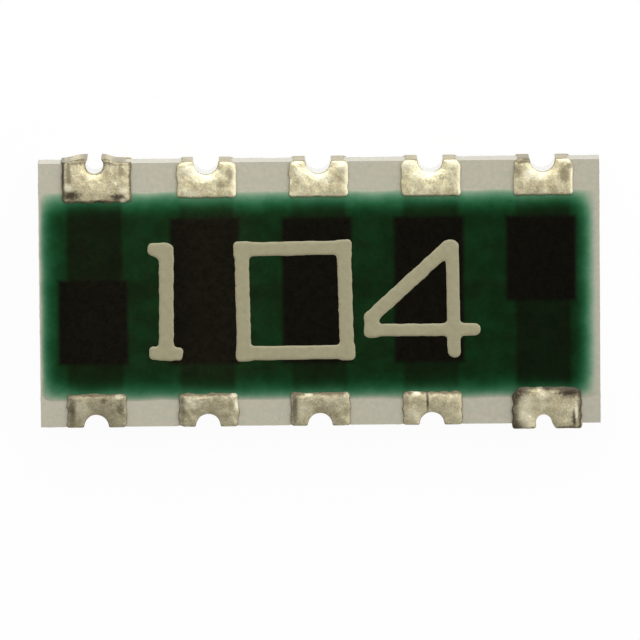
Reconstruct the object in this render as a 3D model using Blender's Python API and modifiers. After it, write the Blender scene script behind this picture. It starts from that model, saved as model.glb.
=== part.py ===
"""Thick-film chip resistor network with ten castellated terminals.

A ceramic plate carries a common silver track, eight silver electrodes, five resistor films with a
clear glass undercoat each, and one green glass overcoat. Every terminal is a silver wrap, a nickel
barrier and a solder coat, one inside the other, over the top face, down a half-round notch and
under the bottom face.

The frame: metres, +X along the plate, +Y towards the upper row of terminals, +Z up. The origin is
the middle of the footprint, at the level of the solder on the bottom.
"""

import math
from dataclasses import dataclass

import bmesh
import bpy
from mathutils import Matrix, Vector

MM = 0.001
WELD = 1e-8

# Plate
PITCH = 1.27 * MM
COLUMNS = 5
END_MARGIN = 0.635 * MM
PLATE_WIDTH = 3.0 * MM
PLATE_THICKNESS = 0.45 * MM
NOTCH_RADIUS = 0.175 * MM

# Layers, and the clearance that each keeps to the next
LAYER_GAP = 0.001 * MM
SILVER_THICKNESS = 0.007 * MM
NICKEL_THICKNESS = 0.004 * MM
FILM_THICKNESS = 0.010 * MM
UNDERCOAT_THICKNESS = 0.008 * MM
OVERCOAT_THICKNESS = 0.050 * MM

# Silver print
TRACK_WIDTH = 0.62 * MM
BUS_WIDTH = 0.18 * MM
SIGNAL_WALL_WIDTH = 0.44 * MM
COMMON_WALL_WIDTH = 0.58 * MM
PAD_SETBACK = 0.030 * MM
PRINT_SHIFT_Y = 0.038 * MM

# Resistor print
FILM_WIDTH = 0.79 * MM
FILM_REACH = 0.832 * MM
FILM_LAP = 0.12 * MM
BUS_LAP = 0.045 * MM
FILM_SHIFT_X = -0.022 * MM
UNDERCOAT_INSET = 0.03 * MM

# Overcoat
UPPER_EXPOSURE = 0.400 * MM
LOWER_EXPOSURE = 0.368 * MM
OVERCOAT_END_MARGIN = 0.085 * MM
OVERCOAT_SHIFT_X = -0.017 * MM
OVERCOAT_EDGE = 0.018 * MM
OVERCOAT_SLUMP = 0.15 * MM
OVERCOAT_CORNER = 0.17 * MM

# Solder
SOLDER_BOTTOM = 0.026 * MM
SOLDER_END_CAP = 0.010 * MM
SIGNAL_SOLDER_WALL = 0.005 * MM
SIGNAL_NOTCH_FILL = 0.022 * MM
SIGNAL_SOLDER_TOP = 0.027 * MM
SIGNAL_SOLDER_SPREAD = 0.023 * MM
SIGNAL_SOLDER_CORNER = 0.045 * MM
SIGNAL_SOLDER_ROUNDING = 0.012 * MM
COMMON_SOLDER_WALL = 0.047 * MM
COMMON_SOLDER_TOP = 0.046 * MM
COMMON_SOLDER_SPREAD = 0.080 * MM
COMMON_SOLDER_CORNER = 0.080 * MM
COMMON_SOLDER_ROUNDING = 0.018 * MM
COMMON_OVERRUN = 0.045 * MM
FIRST_HOLE_RADIUS = 0.101 * MM
FIRST_HOLE_DEPTH = 0.092 * MM
LAST_HOLE_RADIUS = 0.089 * MM
LAST_HOLE_DEPTH = 0.085 * MM
COMMON_LIP_RADIUS = 0.020 * MM

# Facets
NOTCH_FACETS = 16
LIP_FACETS = 4
CORNER_FACETS = 6
SLUMP_STEPS = 4
PAD_CORNER_FACETS = 3
ROUNDING_FACETS = 2
ROUNDING_ANGLE = math.radians(50)
LEAST_RISE_OF_TOP = 0.5

# Heights that follow from the layers
SILVER_REACH = LAYER_GAP + SILVER_THICKNESS
NICKEL_REACH = SILVER_REACH + LAYER_GAP + NICKEL_THICKNESS
SOLDER_BASE = NICKEL_REACH + LAYER_GAP
FILM_TOP = LAYER_GAP + FILM_THICKNESS
UNDERCOAT_BASE = FILM_TOP + LAYER_GAP
UNDERCOAT_TOP = UNDERCOAT_BASE + UNDERCOAT_THICKNESS
PLATE_BOTTOM_Z = SOLDER_BASE + SOLDER_BOTTOM
PLATE_TOP_Z = PLATE_BOTTOM_Z + PLATE_THICKNESS
PLATE_MIDDLE_Z = PLATE_BOTTOM_Z + PLATE_THICKNESS / 2

# Places that follow from the prints
PLATE_LENGTH = (COLUMNS - 1) * PITCH + 2 * END_MARGIN
EDGE_Y = PLATE_WIDTH / 2
OVERCOAT_UPPER_Y = EDGE_Y - UPPER_EXPOSURE
OVERCOAT_LOWER_Y = LOWER_EXPOSURE - EDGE_Y
FILM_UPPER_Y = PRINT_SHIFT_Y + FILM_REACH
FILM_LOWER_Y = PRINT_SHIFT_Y - FILM_REACH
BUS_UPPER_Y = PRINT_SHIFT_Y + BUS_WIDTH / 2
BUS_LOWER_Y = PRINT_SHIFT_Y - BUS_WIDTH / 2

# Terminals count along the upper row and then the lower row, both from the left
UPPER = 1
LOWER = -1
TERMINALS = range(1, 2 * COLUMNS + 1)
FIRST_COMMON = 1
LAST_COMMON = 2 * COLUMNS
SIGNAL_TERMINALS = range(FIRST_COMMON + 1, LAST_COMMON)

# A profile drawn in X and Y stands up so that it runs along the plate's Y and Z
STAND_UP = Matrix(((0, 0, 1, 0), (1, 0, 0, 0), (0, 1, 0, 0), (0, 0, 0, 1)))


@dataclass(frozen=True)
class Wrap:
    """One coat of a terminal in the terminal's own frame: the notch's centre is at the origin, the
    plate's edge lies along X and the plate is on the +Y side."""

    reach: float
    hole_radius: float
    hole_inset: float
    lip_radius: float
    half_width: float
    wall_half_width: float
    setback: float
    depth: float
    low: float
    high: float
    corner: float = 0.0

    def grown(self, gap):
        """The space that the coat and a clearance around it take up."""
        return Wrap(
            reach=self.reach + gap,
            hole_radius=self.hole_radius - gap,
            hole_inset=self.hole_inset,
            lip_radius=self.lip_radius + gap,
            half_width=self.half_width + gap,
            wall_half_width=self.wall_half_width + gap,
            setback=self.setback - gap,
            depth=self.depth + gap,
            low=self.low - gap,
            high=self.high + gap,
            corner=self.corner,
        )

    def front(self):
        """The plan along the notch, from the left end of the pad's edge to the right end."""
        lip_y = self.lip_radius - self.reach
        rise = self.hole_inset - lip_y
        lip_x = math.sqrt((self.hole_radius + self.lip_radius) ** 2 - rise**2)
        tilt = math.atan2(rise, lip_x)
        left_lip = arc((-lip_x, lip_y), self.lip_radius, -math.pi / 2, tilt, LIP_FACETS)
        hole = arc((0.0, self.hole_inset), self.hole_radius, math.pi + tilt, -tilt, NOTCH_FACETS)
        left = [
            (-self.half_width, self.setback),
            (-self.wall_half_width, self.setback),
            (-self.wall_half_width, -self.reach),
            *left_lip,
        ]
        right = [(-x, y) for x, y in reversed(left)]
        return left + hole[1:-1] + right

    def inner_corner(self):
        """The right corner of the pad's inner end, rounded where the coat has flowed."""
        if not self.corner:
            return [(self.half_width, self.depth)]
        centre = (self.half_width - self.corner, self.depth - self.corner)
        return arc(centre, self.corner, 0.0, math.pi / 2, PAD_CORNER_FACETS)

    def outline(self):
        """The whole plan of a coat that keeps to its own pad."""
        right = self.inner_corner()
        return self.front() + right + [(-x, y) for x, y in reversed(right)]

    def mesh(self):
        return outline_mesh(self.outline(), self.low, self.high)


def clear_scene():
    """Remove what the scene holds before the model is built."""
    for obj in list(bpy.data.objects):
        bpy.data.objects.remove(obj, do_unlink=True)


def new_collection(name, hidden=False):
    """A collection under the scene's own, left out of renders where it holds cutters."""
    collection = bpy.data.collections.new(name)
    collection.hide_render = hidden
    bpy.context.scene.collection.children.link(collection)
    return collection


def principled(name, colour, roughness, metallic=0.0):
    """A plain Principled material in the piece's own colour."""
    material = bpy.data.materials.new(name)
    material.use_nodes = True
    shader = material.node_tree.nodes["Principled BSDF"]
    shader.inputs["Base Color"].default_value = (*colour, 1.0)
    shader.inputs["Roughness"].default_value = roughness
    shader.inputs["Metallic"].default_value = metallic
    material.diffuse_color = (*colour, 1.0)
    return material


def alumina():
    return principled("alumina", (0.50, 0.47, 0.42), 0.6)


def fired_silver():
    return principled("fired_silver", (0.62, 0.60, 0.55), 0.45, 1.0)


def nickel():
    return principled("nickel", (0.52, 0.50, 0.46), 0.35, 1.0)


def solder():
    return principled("solder", (0.58, 0.54, 0.42), 0.38, 1.0)


def resistor_ink():
    return principled("resistor_ink", (0.012, 0.010, 0.007), 0.55)


def clear_glass():
    return principled("clear_glass", (0.42, 0.46, 0.44), 0.2)


def green_glass():
    return principled("green_glass", (0.005, 0.045, 0.016), 0.25)


def arc(centre, radius, start, end, facets):
    """Points along an arc, both ends included, with the angles in radians."""
    step = (end - start) / facets
    points = []
    for index in range(facets + 1):
        angle = start + step * index
        points.append((centre[0] + radius * math.cos(angle), centre[1] + radius * math.sin(angle)))
    return points


def outline_mesh(outline, low, high):
    """A closed outline drawn as a filled 2D curve and extruded between two heights."""
    curve = bpy.data.curves.new("outline", "CURVE")
    curve.dimensions = "2D"
    curve.fill_mode = "BOTH"
    curve.extrude = (high - low) / 2
    spline = curve.splines.new("POLY")
    spline.points.add(len(outline) - 1)
    for point, (x, y) in zip(spline.points, outline):
        point.co = (x, y, 0.0, 1.0)
    spline.use_cyclic_u = True
    drawn = bpy.data.objects.new("outline", curve)
    bpy.context.scene.collection.objects.link(drawn)
    graph = bpy.context.evaluated_depsgraph_get()
    mesh = bpy.data.meshes.new_from_object(drawn.evaluated_get(graph))
    bpy.data.objects.remove(drawn, do_unlink=True)
    bpy.data.curves.remove(curve)
    shape = bmesh.new()
    shape.from_mesh(mesh)
    bmesh.ops.remove_doubles(shape, verts=shape.verts, dist=WELD)
    bmesh.ops.translate(shape, vec=(0.0, 0.0, (low + high) / 2), verts=shape.verts)
    bmesh.ops.recalc_face_normals(shape, faces=shape.faces)
    shape.to_mesh(mesh)
    shape.free()
    return mesh


def box_mesh(corner, opposite):
    """A box between its lowest and its highest corner."""
    west, south, low = corner
    east, north, high = opposite
    outline = [(west, south), (east, south), (east, north), (west, north)]
    return outline_mesh(outline, low, high)


def joined_mesh(placed):
    """One mesh of separate bodies, each given as a mesh with its place."""
    shape = bmesh.new()
    for mesh, place in placed:
        mesh.transform(place)
        shape.from_mesh(mesh)
        bpy.data.meshes.remove(mesh)
    whole = bpy.data.meshes.new("joined")
    shape.to_mesh(whole)
    shape.free()
    return whole


def add_cutter(name, mesh, collection):
    """A helper shape that pieces are cut with."""
    mesh.name = name
    cutter = bpy.data.objects.new(name, mesh)
    cutter.hide_render = True
    cutter.display_type = "WIRE"
    collection.objects.link(cutter)
    return cutter


def cut(piece, *cutters):
    """Keep the piece clear of the space that each cutter holds."""
    for cutter in cutters:
        modifier = piece.modifiers.new("clear of " + cutter.name, "BOOLEAN")
        modifier.operation = "DIFFERENCE"
        modifier.solver = "EXACT"
        modifier.object = cutter


def round_edges(piece, width):
    """Round the sharp outer edges, and leave the facets of the arcs."""
    modifier = piece.modifiers.new("rounding", "BEVEL")
    modifier.width = width
    modifier.segments = ROUNDING_FACETS
    modifier.limit_method = "ANGLE"
    modifier.angle_limit = ROUNDING_ANGLE


def column_x(column):
    """The place along the plate of a column, counted from 0 at the left."""
    return (column - (COLUMNS - 1) / 2) * PITCH


def terminal_row(number):
    return UPPER if number <= COLUMNS else LOWER


def terminal_place(number):
    """The matrix that carries a terminal's own frame to its notch."""
    row = terminal_row(number)
    turn = Matrix.Rotation(math.pi if row == UPPER else 0.0, 4, "Z")
    return Matrix.Translation((column_x((number - 1) % COLUMNS), row * EDGE_Y, 0.0)) @ turn


def plate_outline(gap=0.0):
    """The plate's plan with a half-round notch at each terminal, and a clearance around it."""
    radius = NOTCH_RADIUS - gap
    half_length = PLATE_LENGTH / 2 + gap
    half_width = EDGE_Y + gap
    mouth = math.asin(gap / radius)
    lower_side = [(-half_length, -half_width)]
    for column in range(COLUMNS):
        centre = (column_x(column), -EDGE_Y)
        lower_side += arc(centre, radius, math.pi + mouth, -mouth, NOTCH_FACETS)
    lower_side.append((half_length, -half_width))
    upper_side = [(-x, -y) for x, y in lower_side]
    return lower_side + upper_side


def silver_wrap(number):
    """The fired silver of a terminal, deep enough to reach in under the resistor film."""
    common = number in (FIRST_COMMON, LAST_COMMON)
    wall_width = COMMON_WALL_WIDTH if common else SIGNAL_WALL_WIDTH
    film_end = FILM_UPPER_Y if terminal_row(number) == UPPER else -FILM_LOWER_Y
    return Wrap(
        reach=SILVER_REACH,
        hole_radius=NOTCH_RADIUS - SILVER_REACH,
        hole_inset=0.0,
        lip_radius=SILVER_REACH,
        half_width=TRACK_WIDTH / 2,
        wall_half_width=wall_width / 2,
        setback=PAD_SETBACK,
        depth=EDGE_Y - film_end + FILM_LAP,
        low=PLATE_BOTTOM_Z - SILVER_REACH,
        high=PLATE_TOP_Z + SILVER_REACH,
    )


def solder_depth(number):
    """How far in from the plate's edge a terminal's solder reaches."""
    exposure = UPPER_EXPOSURE if terminal_row(number) == UPPER else LOWER_EXPOSURE
    common = number in (FIRST_COMMON, LAST_COMMON)
    return exposure - LAYER_GAP + (COMMON_OVERRUN if common else 0.0)


def nickel_depth(number):
    """The nickel ends inside the cap that the solder makes over its end."""
    return solder_depth(number) - SOLDER_END_CAP - LAYER_GAP


def back_pad_depth(row):
    """The silver under the plate ends inside the nickel."""
    signal_terminal = COLUMNS if row == UPPER else COLUMNS + 1
    return nickel_depth(signal_terminal) - NICKEL_THICKNESS - LAYER_GAP


def nickel_wrap(number):
    """The nickel barrier over the silver, as far in as the solder covers it."""
    inner = silver_wrap(number)
    growth = LAYER_GAP + NICKEL_THICKNESS
    return Wrap(
        reach=NICKEL_REACH,
        hole_radius=NOTCH_RADIUS - NICKEL_REACH,
        hole_inset=0.0,
        lip_radius=NICKEL_REACH,
        half_width=inner.half_width + growth,
        wall_half_width=inner.wall_half_width + growth,
        setback=inner.setback - growth,
        depth=nickel_depth(number),
        low=PLATE_BOTTOM_Z - NICKEL_REACH,
        high=PLATE_TOP_Z + NICKEL_REACH,
    )


def signal_solder_wrap(number):
    """The solder coat of a signal terminal, thin on the edge and thicker down the notch."""
    inner = nickel_wrap(number)
    reach = SOLDER_BASE + SIGNAL_SOLDER_WALL
    spread = LAYER_GAP + SIGNAL_SOLDER_SPREAD
    return Wrap(
        reach=reach,
        hole_radius=NOTCH_RADIUS - SOLDER_BASE - SIGNAL_NOTCH_FILL,
        hole_inset=0.0,
        lip_radius=reach,
        half_width=inner.half_width + spread,
        wall_half_width=inner.wall_half_width + spread,
        setback=inner.setback - LAYER_GAP - SIGNAL_SOLDER_WALL,
        depth=solder_depth(number),
        low=0.0,
        high=PLATE_TOP_Z + SOLDER_BASE + SIGNAL_SOLDER_TOP,
        corner=SIGNAL_SOLDER_CORNER,
    )


def common_hole(number):
    """The radius and the depth of the hole that the thick solder leaves in the notch."""
    if number == FIRST_COMMON:
        return FIRST_HOLE_RADIUS, FIRST_HOLE_DEPTH
    return LAST_HOLE_RADIUS, LAST_HOLE_DEPTH


def common_solder_wrap(number):
    """The thick solder coat of a common terminal. It leaves a round hole or an arch in the notch."""
    inner = nickel_wrap(number)
    hole_radius, hole_depth = common_hole(number)
    reach = SOLDER_BASE + COMMON_SOLDER_WALL
    spread = LAYER_GAP + COMMON_SOLDER_SPREAD
    return Wrap(
        reach=reach,
        hole_radius=hole_radius,
        hole_inset=hole_depth - hole_radius,
        lip_radius=COMMON_LIP_RADIUS,
        half_width=inner.half_width + spread,
        wall_half_width=inner.wall_half_width + spread,
        setback=-reach / 2,
        depth=solder_depth(number),
        low=0.0,
        high=PLATE_TOP_Z + SOLDER_BASE + COMMON_SOLDER_TOP,
        corner=COMMON_SOLDER_CORNER,
    )


def placed_front(number, gap):
    """The plan along a common terminal's notch, in the plate's own frame."""
    place = terminal_place(number)
    front = silver_wrap(number).grown(gap).front()
    return [tuple((place @ Vector((x, y, 0.0))).xy) for x, y in front]


def common_outline(gap=0.0):
    """The plan of the common conductor: down from the first terminal, along the bus under the films
    and down to the last terminal."""
    half_width = TRACK_WIDTH / 2 + gap
    left, right = column_x(0), column_x(COLUMNS - 1)
    upper, lower = BUS_UPPER_Y + gap, BUS_LOWER_Y - gap
    return [
        *placed_front(LAST_COMMON, gap),
        (right + half_width, upper),
        (left + half_width, upper),
        *placed_front(FIRST_COMMON, gap),
        (left - half_width, lower),
        (right - half_width, lower),
    ]


def common_mesh(gap=0.0):
    wrap = silver_wrap(FIRST_COMMON).grown(gap)
    return outline_mesh(common_outline(gap), wrap.low, wrap.high)


def back_relief_mesh(gap=0.0):
    """The space under the plate between the two rows of back pads, where no silver is."""
    lower_y = -EDGE_Y + back_pad_depth(LOWER) + gap
    upper_y = EDGE_Y - back_pad_depth(UPPER) - gap
    return box_mesh(
        (-PLATE_LENGTH, lower_y, PLATE_BOTTOM_Z - PLATE_THICKNESS),
        (PLATE_LENGTH, upper_y, PLATE_MIDDLE_Z),
    )


@dataclass(frozen=True)
class FilmRun:
    """Where one resistor film lies: its ends, and the silver under it as pairs of ends."""

    column: int
    low: float
    high: float
    silver: tuple


def film_runs():
    """The first film covers only the lower half of its column and the last only the upper half,
    because the common conductor fills the other half. The films between cross the bus."""
    far = PLATE_WIDTH
    lower_pad = (-far, FILM_LOWER_Y + FILM_LAP)
    upper_pad = (FILM_UPPER_Y - FILM_LAP, far)
    bus = (BUS_LOWER_Y, BUS_UPPER_Y)
    runs = []
    for column in range(COLUMNS):
        low, high, silver = FILM_LOWER_Y, FILM_UPPER_Y, (lower_pad, bus, upper_pad)
        if column == 0:
            high, silver = BUS_UPPER_Y + BUS_LAP, (lower_pad, (BUS_LOWER_Y, far))
        elif column == COLUMNS - 1:
            low, silver = BUS_LOWER_Y - BUS_LAP, ((-far, BUS_UPPER_Y), upper_pad)
        runs.append(FilmRun(column, low, high, silver))
    return runs


def draped_line(run, offset, low, high):
    """A line between two ends that keeps one distance to the plate and to the silver it crosses."""
    points = [(low, offset)]
    for silver_low, silver_high in run.silver:
        start, end = silver_low - offset, silver_high + offset
        if start <= low:
            points = [(low, SILVER_REACH + offset)]
        else:
            points += [(start, offset), (start, SILVER_REACH + offset)]
        if end >= high:
            points.append((high, SILVER_REACH + offset))
            return points
        points += [(end, SILVER_REACH + offset), (end, offset)]
    points.append((high, offset))
    return points


def draped_mesh(run, inner, outer, inset, width):
    """A printed layer between two distances from what it lies on, inset from the film's ends."""
    low, high = run.low + inset, run.high - inset
    profile = draped_line(run, inner, low, high) + draped_line(run, outer, low, high)[::-1]
    return outline_mesh(profile, -width / 2, width / 2)


def film_place(run):
    """Stand a profile up on the plate's top face, in its column."""
    x = column_x(run.column) + FILM_SHIFT_X
    return Matrix.Translation((x, 0.0, PLATE_TOP_Z)) @ STAND_UP


def print_clearance(outer, inset, width):
    """The space over the plate that one printed layer takes up in every column."""
    depth = -PLATE_THICKNESS / 4
    placed = []
    for run in film_runs():
        low, high = run.low + inset - LAYER_GAP, run.high - inset + LAYER_GAP
        top = draped_line(run, outer + LAYER_GAP, low, high)
        profile = [(low, depth), (high, depth)] + top[::-1]
        half = width / 2 + LAYER_GAP
        placed.append((outline_mesh(profile, -half, half), film_place(run)))
    return joined_mesh(placed)


def overcoat_outline():
    """The overcoat's plan: a rectangle with round corners."""
    half_length = PLATE_LENGTH / 2 - OVERCOAT_END_MARGIN
    low = (OVERCOAT_SHIFT_X - half_length + OVERCOAT_CORNER, OVERCOAT_LOWER_Y + OVERCOAT_CORNER)
    high = (OVERCOAT_SHIFT_X + half_length - OVERCOAT_CORNER, OVERCOAT_UPPER_Y - OVERCOAT_CORNER)
    centres = [(high[0], high[1]), (low[0], high[1]), (low[0], low[1]), (high[0], low[1])]
    outline = []
    for quarter, centre in enumerate(centres):
        start = quarter * math.pi / 2
        outline += arc(centre, OVERCOAT_CORNER, start, start + math.pi / 2, CORNER_FACETS)
    return outline


def slump(mesh, run, rise):
    """Let the top face rise from its rim in a quarter of an ellipse, as fired glass does."""
    shape = bmesh.new()
    shape.from_mesh(mesh)
    top = [face for face in shape.faces if face.normal.z > LEAST_RISE_OF_TOP]
    for step in range(SLUMP_STEPS):
        before = math.pi / 2 * step / SLUMP_STEPS
        after = math.pi / 2 * (step + 1) / SLUMP_STEPS
        bmesh.ops.inset_region(
            shape,
            faces=top,
            thickness=run * (math.cos(before) - math.cos(after)),
            depth=rise * (math.sin(after) - math.sin(before)),
            use_even_offset=True,
        )
    shape.to_mesh(mesh)
    shape.free()


def overcoat_mesh():
    low, rim = PLATE_TOP_Z + LAYER_GAP, PLATE_TOP_Z + OVERCOAT_EDGE
    mesh = outline_mesh(overcoat_outline(), low, rim)
    slump(mesh, OVERCOAT_SLUMP, OVERCOAT_THICKNESS - OVERCOAT_EDGE)
    return mesh


def common_solder_clearance():
    """The two places where the thick solder of a common terminal runs in over the glass."""
    placed = []
    for number in (FIRST_COMMON, LAST_COMMON):
        wrap = common_solder_wrap(number).grown(LAYER_GAP)
        corner = (-wrap.half_width, 0.0, PLATE_MIDDLE_Z)
        opposite = (wrap.half_width, wrap.depth, PLATE_TOP_Z + PLATE_THICKNESS)
        placed.append((box_mesh(corner, opposite), terminal_place(number)))
    return joined_mesh(placed)


def silver_clearance():
    """All the silver with its clearance, as separate bodies."""
    placed = [(common_mesh(LAYER_GAP), Matrix.Identity(4))]
    for number in SIGNAL_TERMINALS:
        placed.append((silver_wrap(number).grown(LAYER_GAP).mesh(), terminal_place(number)))
    return joined_mesh(placed)


def nickel_clearance():
    """All the nickel with its clearance, as separate bodies."""
    placed = []
    for number in TERMINALS:
        placed.append((nickel_wrap(number).grown(LAYER_GAP).mesh(), terminal_place(number)))
    return joined_mesh(placed)


class Network:
    """The whole part: its pieces in one collection and its cutters in another."""

    def __init__(self):
        self.pieces = new_collection("resistor_network")
        self.cutters = new_collection("cutters", hidden=True)
        self.root = bpy.data.objects.new("footprint", None)
        self.pieces.objects.link(self.root)

    def add(self, name, mesh, material, place=None):
        """A named piece with its material, placed under the part's root."""
        if not mesh.materials:
            mesh.materials.append(material)
        piece = bpy.data.objects.new(name, mesh)
        self.pieces.objects.link(piece)
        piece.parent = self.root
        piece.matrix_local = place or Matrix.Identity(4)
        return piece

    def add_cutters(self):
        plate = outline_mesh(
            plate_outline(LAYER_GAP), PLATE_BOTTOM_Z - LAYER_GAP, PLATE_TOP_Z + LAYER_GAP
        )
        self.plate_space = add_cutter("plate_space", plate, self.cutters)
        self.back_relief = add_cutter("back_relief", back_relief_mesh(), self.cutters)
        self.back_space = add_cutter("back_space", back_relief_mesh(LAYER_GAP), self.cutters)
        self.silver_space = add_cutter("silver_space", silver_clearance(), self.cutters)
        cut(self.silver_space, self.back_space)
        self.nickel_space = add_cutter("nickel_space", nickel_clearance(), self.cutters)
        film_space = print_clearance(FILM_TOP, 0.0, FILM_WIDTH)
        self.film_space = add_cutter("film_space", film_space, self.cutters)
        undercoat_width = FILM_WIDTH - 2 * UNDERCOAT_INSET
        undercoat_space = print_clearance(UNDERCOAT_TOP, UNDERCOAT_INSET, undercoat_width)
        self.undercoat_space = add_cutter("undercoat_space", undercoat_space, self.cutters)
        solder_space = common_solder_clearance()
        self.solder_space = add_cutter("common_solder_space", solder_space, self.cutters)

    def add_plate(self):
        mesh = outline_mesh(plate_outline(), PLATE_BOTTOM_Z, PLATE_TOP_Z)
        self.add("ceramic_plate", mesh, alumina())

    def add_silver(self):
        material = fired_silver()
        common = self.add("common_conductor", common_mesh(), material)
        cut(common, self.plate_space, self.back_relief)
        for number in SIGNAL_TERMINALS:
            mesh = silver_wrap(number).mesh()
            electrode = self.add(f"electrode_{number}", mesh, material, terminal_place(number))
            cut(electrode, self.plate_space, self.back_relief)

    def add_nickel(self):
        material = nickel()
        for number in TERMINALS:
            mesh = nickel_wrap(number).mesh()
            barrier = self.add(f"nickel_barrier_{number}", mesh, material, terminal_place(number))
            cut(barrier, self.plate_space, self.silver_space)

    def add_solder(self):
        material = solder()
        for number in TERMINALS:
            if number in SIGNAL_TERMINALS:
                wrap, rounding = signal_solder_wrap(number), SIGNAL_SOLDER_ROUNDING
            else:
                wrap, rounding = common_solder_wrap(number), COMMON_SOLDER_ROUNDING
            name = f"solder_terminal_{number}"
            coat = self.add(name, wrap.mesh(), material, terminal_place(number))
            round_edges(coat, rounding)
            cut(coat, self.plate_space, self.silver_space, self.nickel_space)

    def add_films(self):
        material = resistor_ink()
        for run in film_runs():
            mesh = draped_mesh(run, LAYER_GAP, FILM_TOP, 0.0, FILM_WIDTH)
            self.add(f"resistor_film_{run.column + 1}", mesh, material, film_place(run))

    def add_undercoats(self):
        material = clear_glass()
        width = FILM_WIDTH - 2 * UNDERCOAT_INSET
        for run in film_runs():
            mesh = draped_mesh(run, UNDERCOAT_BASE, UNDERCOAT_TOP, UNDERCOAT_INSET, width)
            self.add(f"glass_undercoat_{run.column + 1}", mesh, material, film_place(run))

    def add_overcoat(self):
        overcoat = self.add("green_overcoat", overcoat_mesh(), green_glass())
        cut(overcoat, self.silver_space, self.film_space, self.undercoat_space, self.solder_space)


def build():
    clear_scene()
    network = Network()
    network.add_cutters()
    network.add_plate()
    network.add_silver()
    network.add_films()
    network.add_undercoats()
    network.add_overcoat()
    network.add_nickel()
    network.add_solder()


build()
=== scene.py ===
"""Bussed chip resistor network on a white ceramic plate.

A fired ceramic plate carries ten castellated solder terminals, five printed
films under one green glass coat, and a three-character value code. Shapes are
worked out in millimetres and become metres when a piece is finished.
"""

import logging
import math
from collections.abc import Callable, Iterable, Sequence
from dataclasses import dataclass, field
from enum import Enum

import bmesh
import bpy
import numpy as np
from mathutils import Matrix, Vector
from mathutils.geometry import delaunay_2d_cdt


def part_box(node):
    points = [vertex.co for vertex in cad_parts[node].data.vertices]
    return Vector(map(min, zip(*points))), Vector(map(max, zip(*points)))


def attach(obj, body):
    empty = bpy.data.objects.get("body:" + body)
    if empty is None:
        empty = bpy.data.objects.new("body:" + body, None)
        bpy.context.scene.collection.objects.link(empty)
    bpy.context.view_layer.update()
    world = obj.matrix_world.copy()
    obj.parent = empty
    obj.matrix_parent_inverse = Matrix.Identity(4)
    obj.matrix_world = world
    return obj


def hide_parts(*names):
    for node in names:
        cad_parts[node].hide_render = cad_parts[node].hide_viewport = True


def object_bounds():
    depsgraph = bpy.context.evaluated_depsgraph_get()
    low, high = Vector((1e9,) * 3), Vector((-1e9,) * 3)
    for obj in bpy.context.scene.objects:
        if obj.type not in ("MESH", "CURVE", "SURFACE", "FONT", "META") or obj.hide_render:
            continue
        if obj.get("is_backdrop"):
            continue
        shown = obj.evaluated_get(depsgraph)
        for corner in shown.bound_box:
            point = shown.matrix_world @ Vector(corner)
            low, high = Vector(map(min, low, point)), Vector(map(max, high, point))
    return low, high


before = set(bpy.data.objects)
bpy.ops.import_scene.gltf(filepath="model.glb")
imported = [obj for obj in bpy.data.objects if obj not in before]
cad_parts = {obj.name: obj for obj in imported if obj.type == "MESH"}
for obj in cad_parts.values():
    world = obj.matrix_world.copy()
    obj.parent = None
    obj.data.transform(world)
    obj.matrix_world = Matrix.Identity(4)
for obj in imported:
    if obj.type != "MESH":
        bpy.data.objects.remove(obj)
CAD_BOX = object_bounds()

MM = 0.001
LEAST_LAYER = 0.0004
ROOT = "root"
Colour = tuple[float, float, float]
Point = tuple[float, float]
Point3 = tuple[float, float, float]
log = logging.getLogger("resistor_network")


class Slot(Enum):
    """The record's finishes, one for each kind of layer."""

    ALUMINA = "alumina"
    SILVER = "fired_silver"
    NICKEL = "nickel"
    SOLDER = "solder"
    RESISTOR = "resistor_ink"
    CLEAR = "clear_glass"
    GREEN = "green_glass"


def linear(red: float, green: float, blue: float) -> Colour:
    """Turns a display colour of 0 to 255 into a linear one."""

    def one(value: float) -> float:
        """One channel, by the display's own curve."""
        share = value / 255
        return share / 12.92 if share <= 0.04045 else ((share + 0.055) / 1.055) ** 2.4

    return one(red), one(green), one(blue)


def node_box(node: str) -> tuple[Vector, Vector]:
    """The lowest and highest corner of a solid of the frame, in millimetres."""
    low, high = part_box(node)
    return low / MM, high / MM


def ripple(x: np.ndarray, y: np.ndarray, size: float, seed: int) -> np.ndarray:
    """A smooth, seeded unevenness from about -1 to 1.

    Args:
        x: Places across, in millimetres.
        y: Places up, in millimetres.
        size: The typical distance between two humps.
        seed: Picks the pattern.

    Returns:
        The unevenness at each place.
    """
    rng = np.random.default_rng(seed)
    total = np.zeros_like(x)
    waves = 9
    for _ in range(waves):
        turn, phase = rng.uniform(0, 2 * math.pi, 2)
        pitch = 2 * math.pi / (size * rng.uniform(0.7, 1.8))
        total += np.sin(pitch * (x * math.cos(turn) + y * math.sin(turn)) + phase)
    return total / math.sqrt(waves)


def smooth(value: np.ndarray, low: float, high: float) -> np.ndarray:
    """Rises smoothly from 0 at low to 1 at high."""
    share = np.clip((value - low) / (high - low), 0, 1)
    return share * share * (3 - 2 * share)


def box_distance(
    x: np.ndarray, y: np.ndarray, centre: Point, half: Point, corner: float
) -> np.ndarray:
    """The signed distance to a rectangle with rounded corners.

    Args:
        x: Places across, in millimetres.
        y: Places up, in millimetres.
        centre: The middle of the rectangle.
        half: Half its width and half its height.
        corner: The radius of its corners.

    Returns:
        The distance, negative inside.
    """
    across = np.abs(x - centre[0]) - half[0] + corner
    up = np.abs(y - centre[1]) - half[1] + corner
    outside = np.hypot(np.maximum(across, 0), np.maximum(up, 0))
    return outside + np.minimum(np.maximum(across, up), 0) - corner


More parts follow.
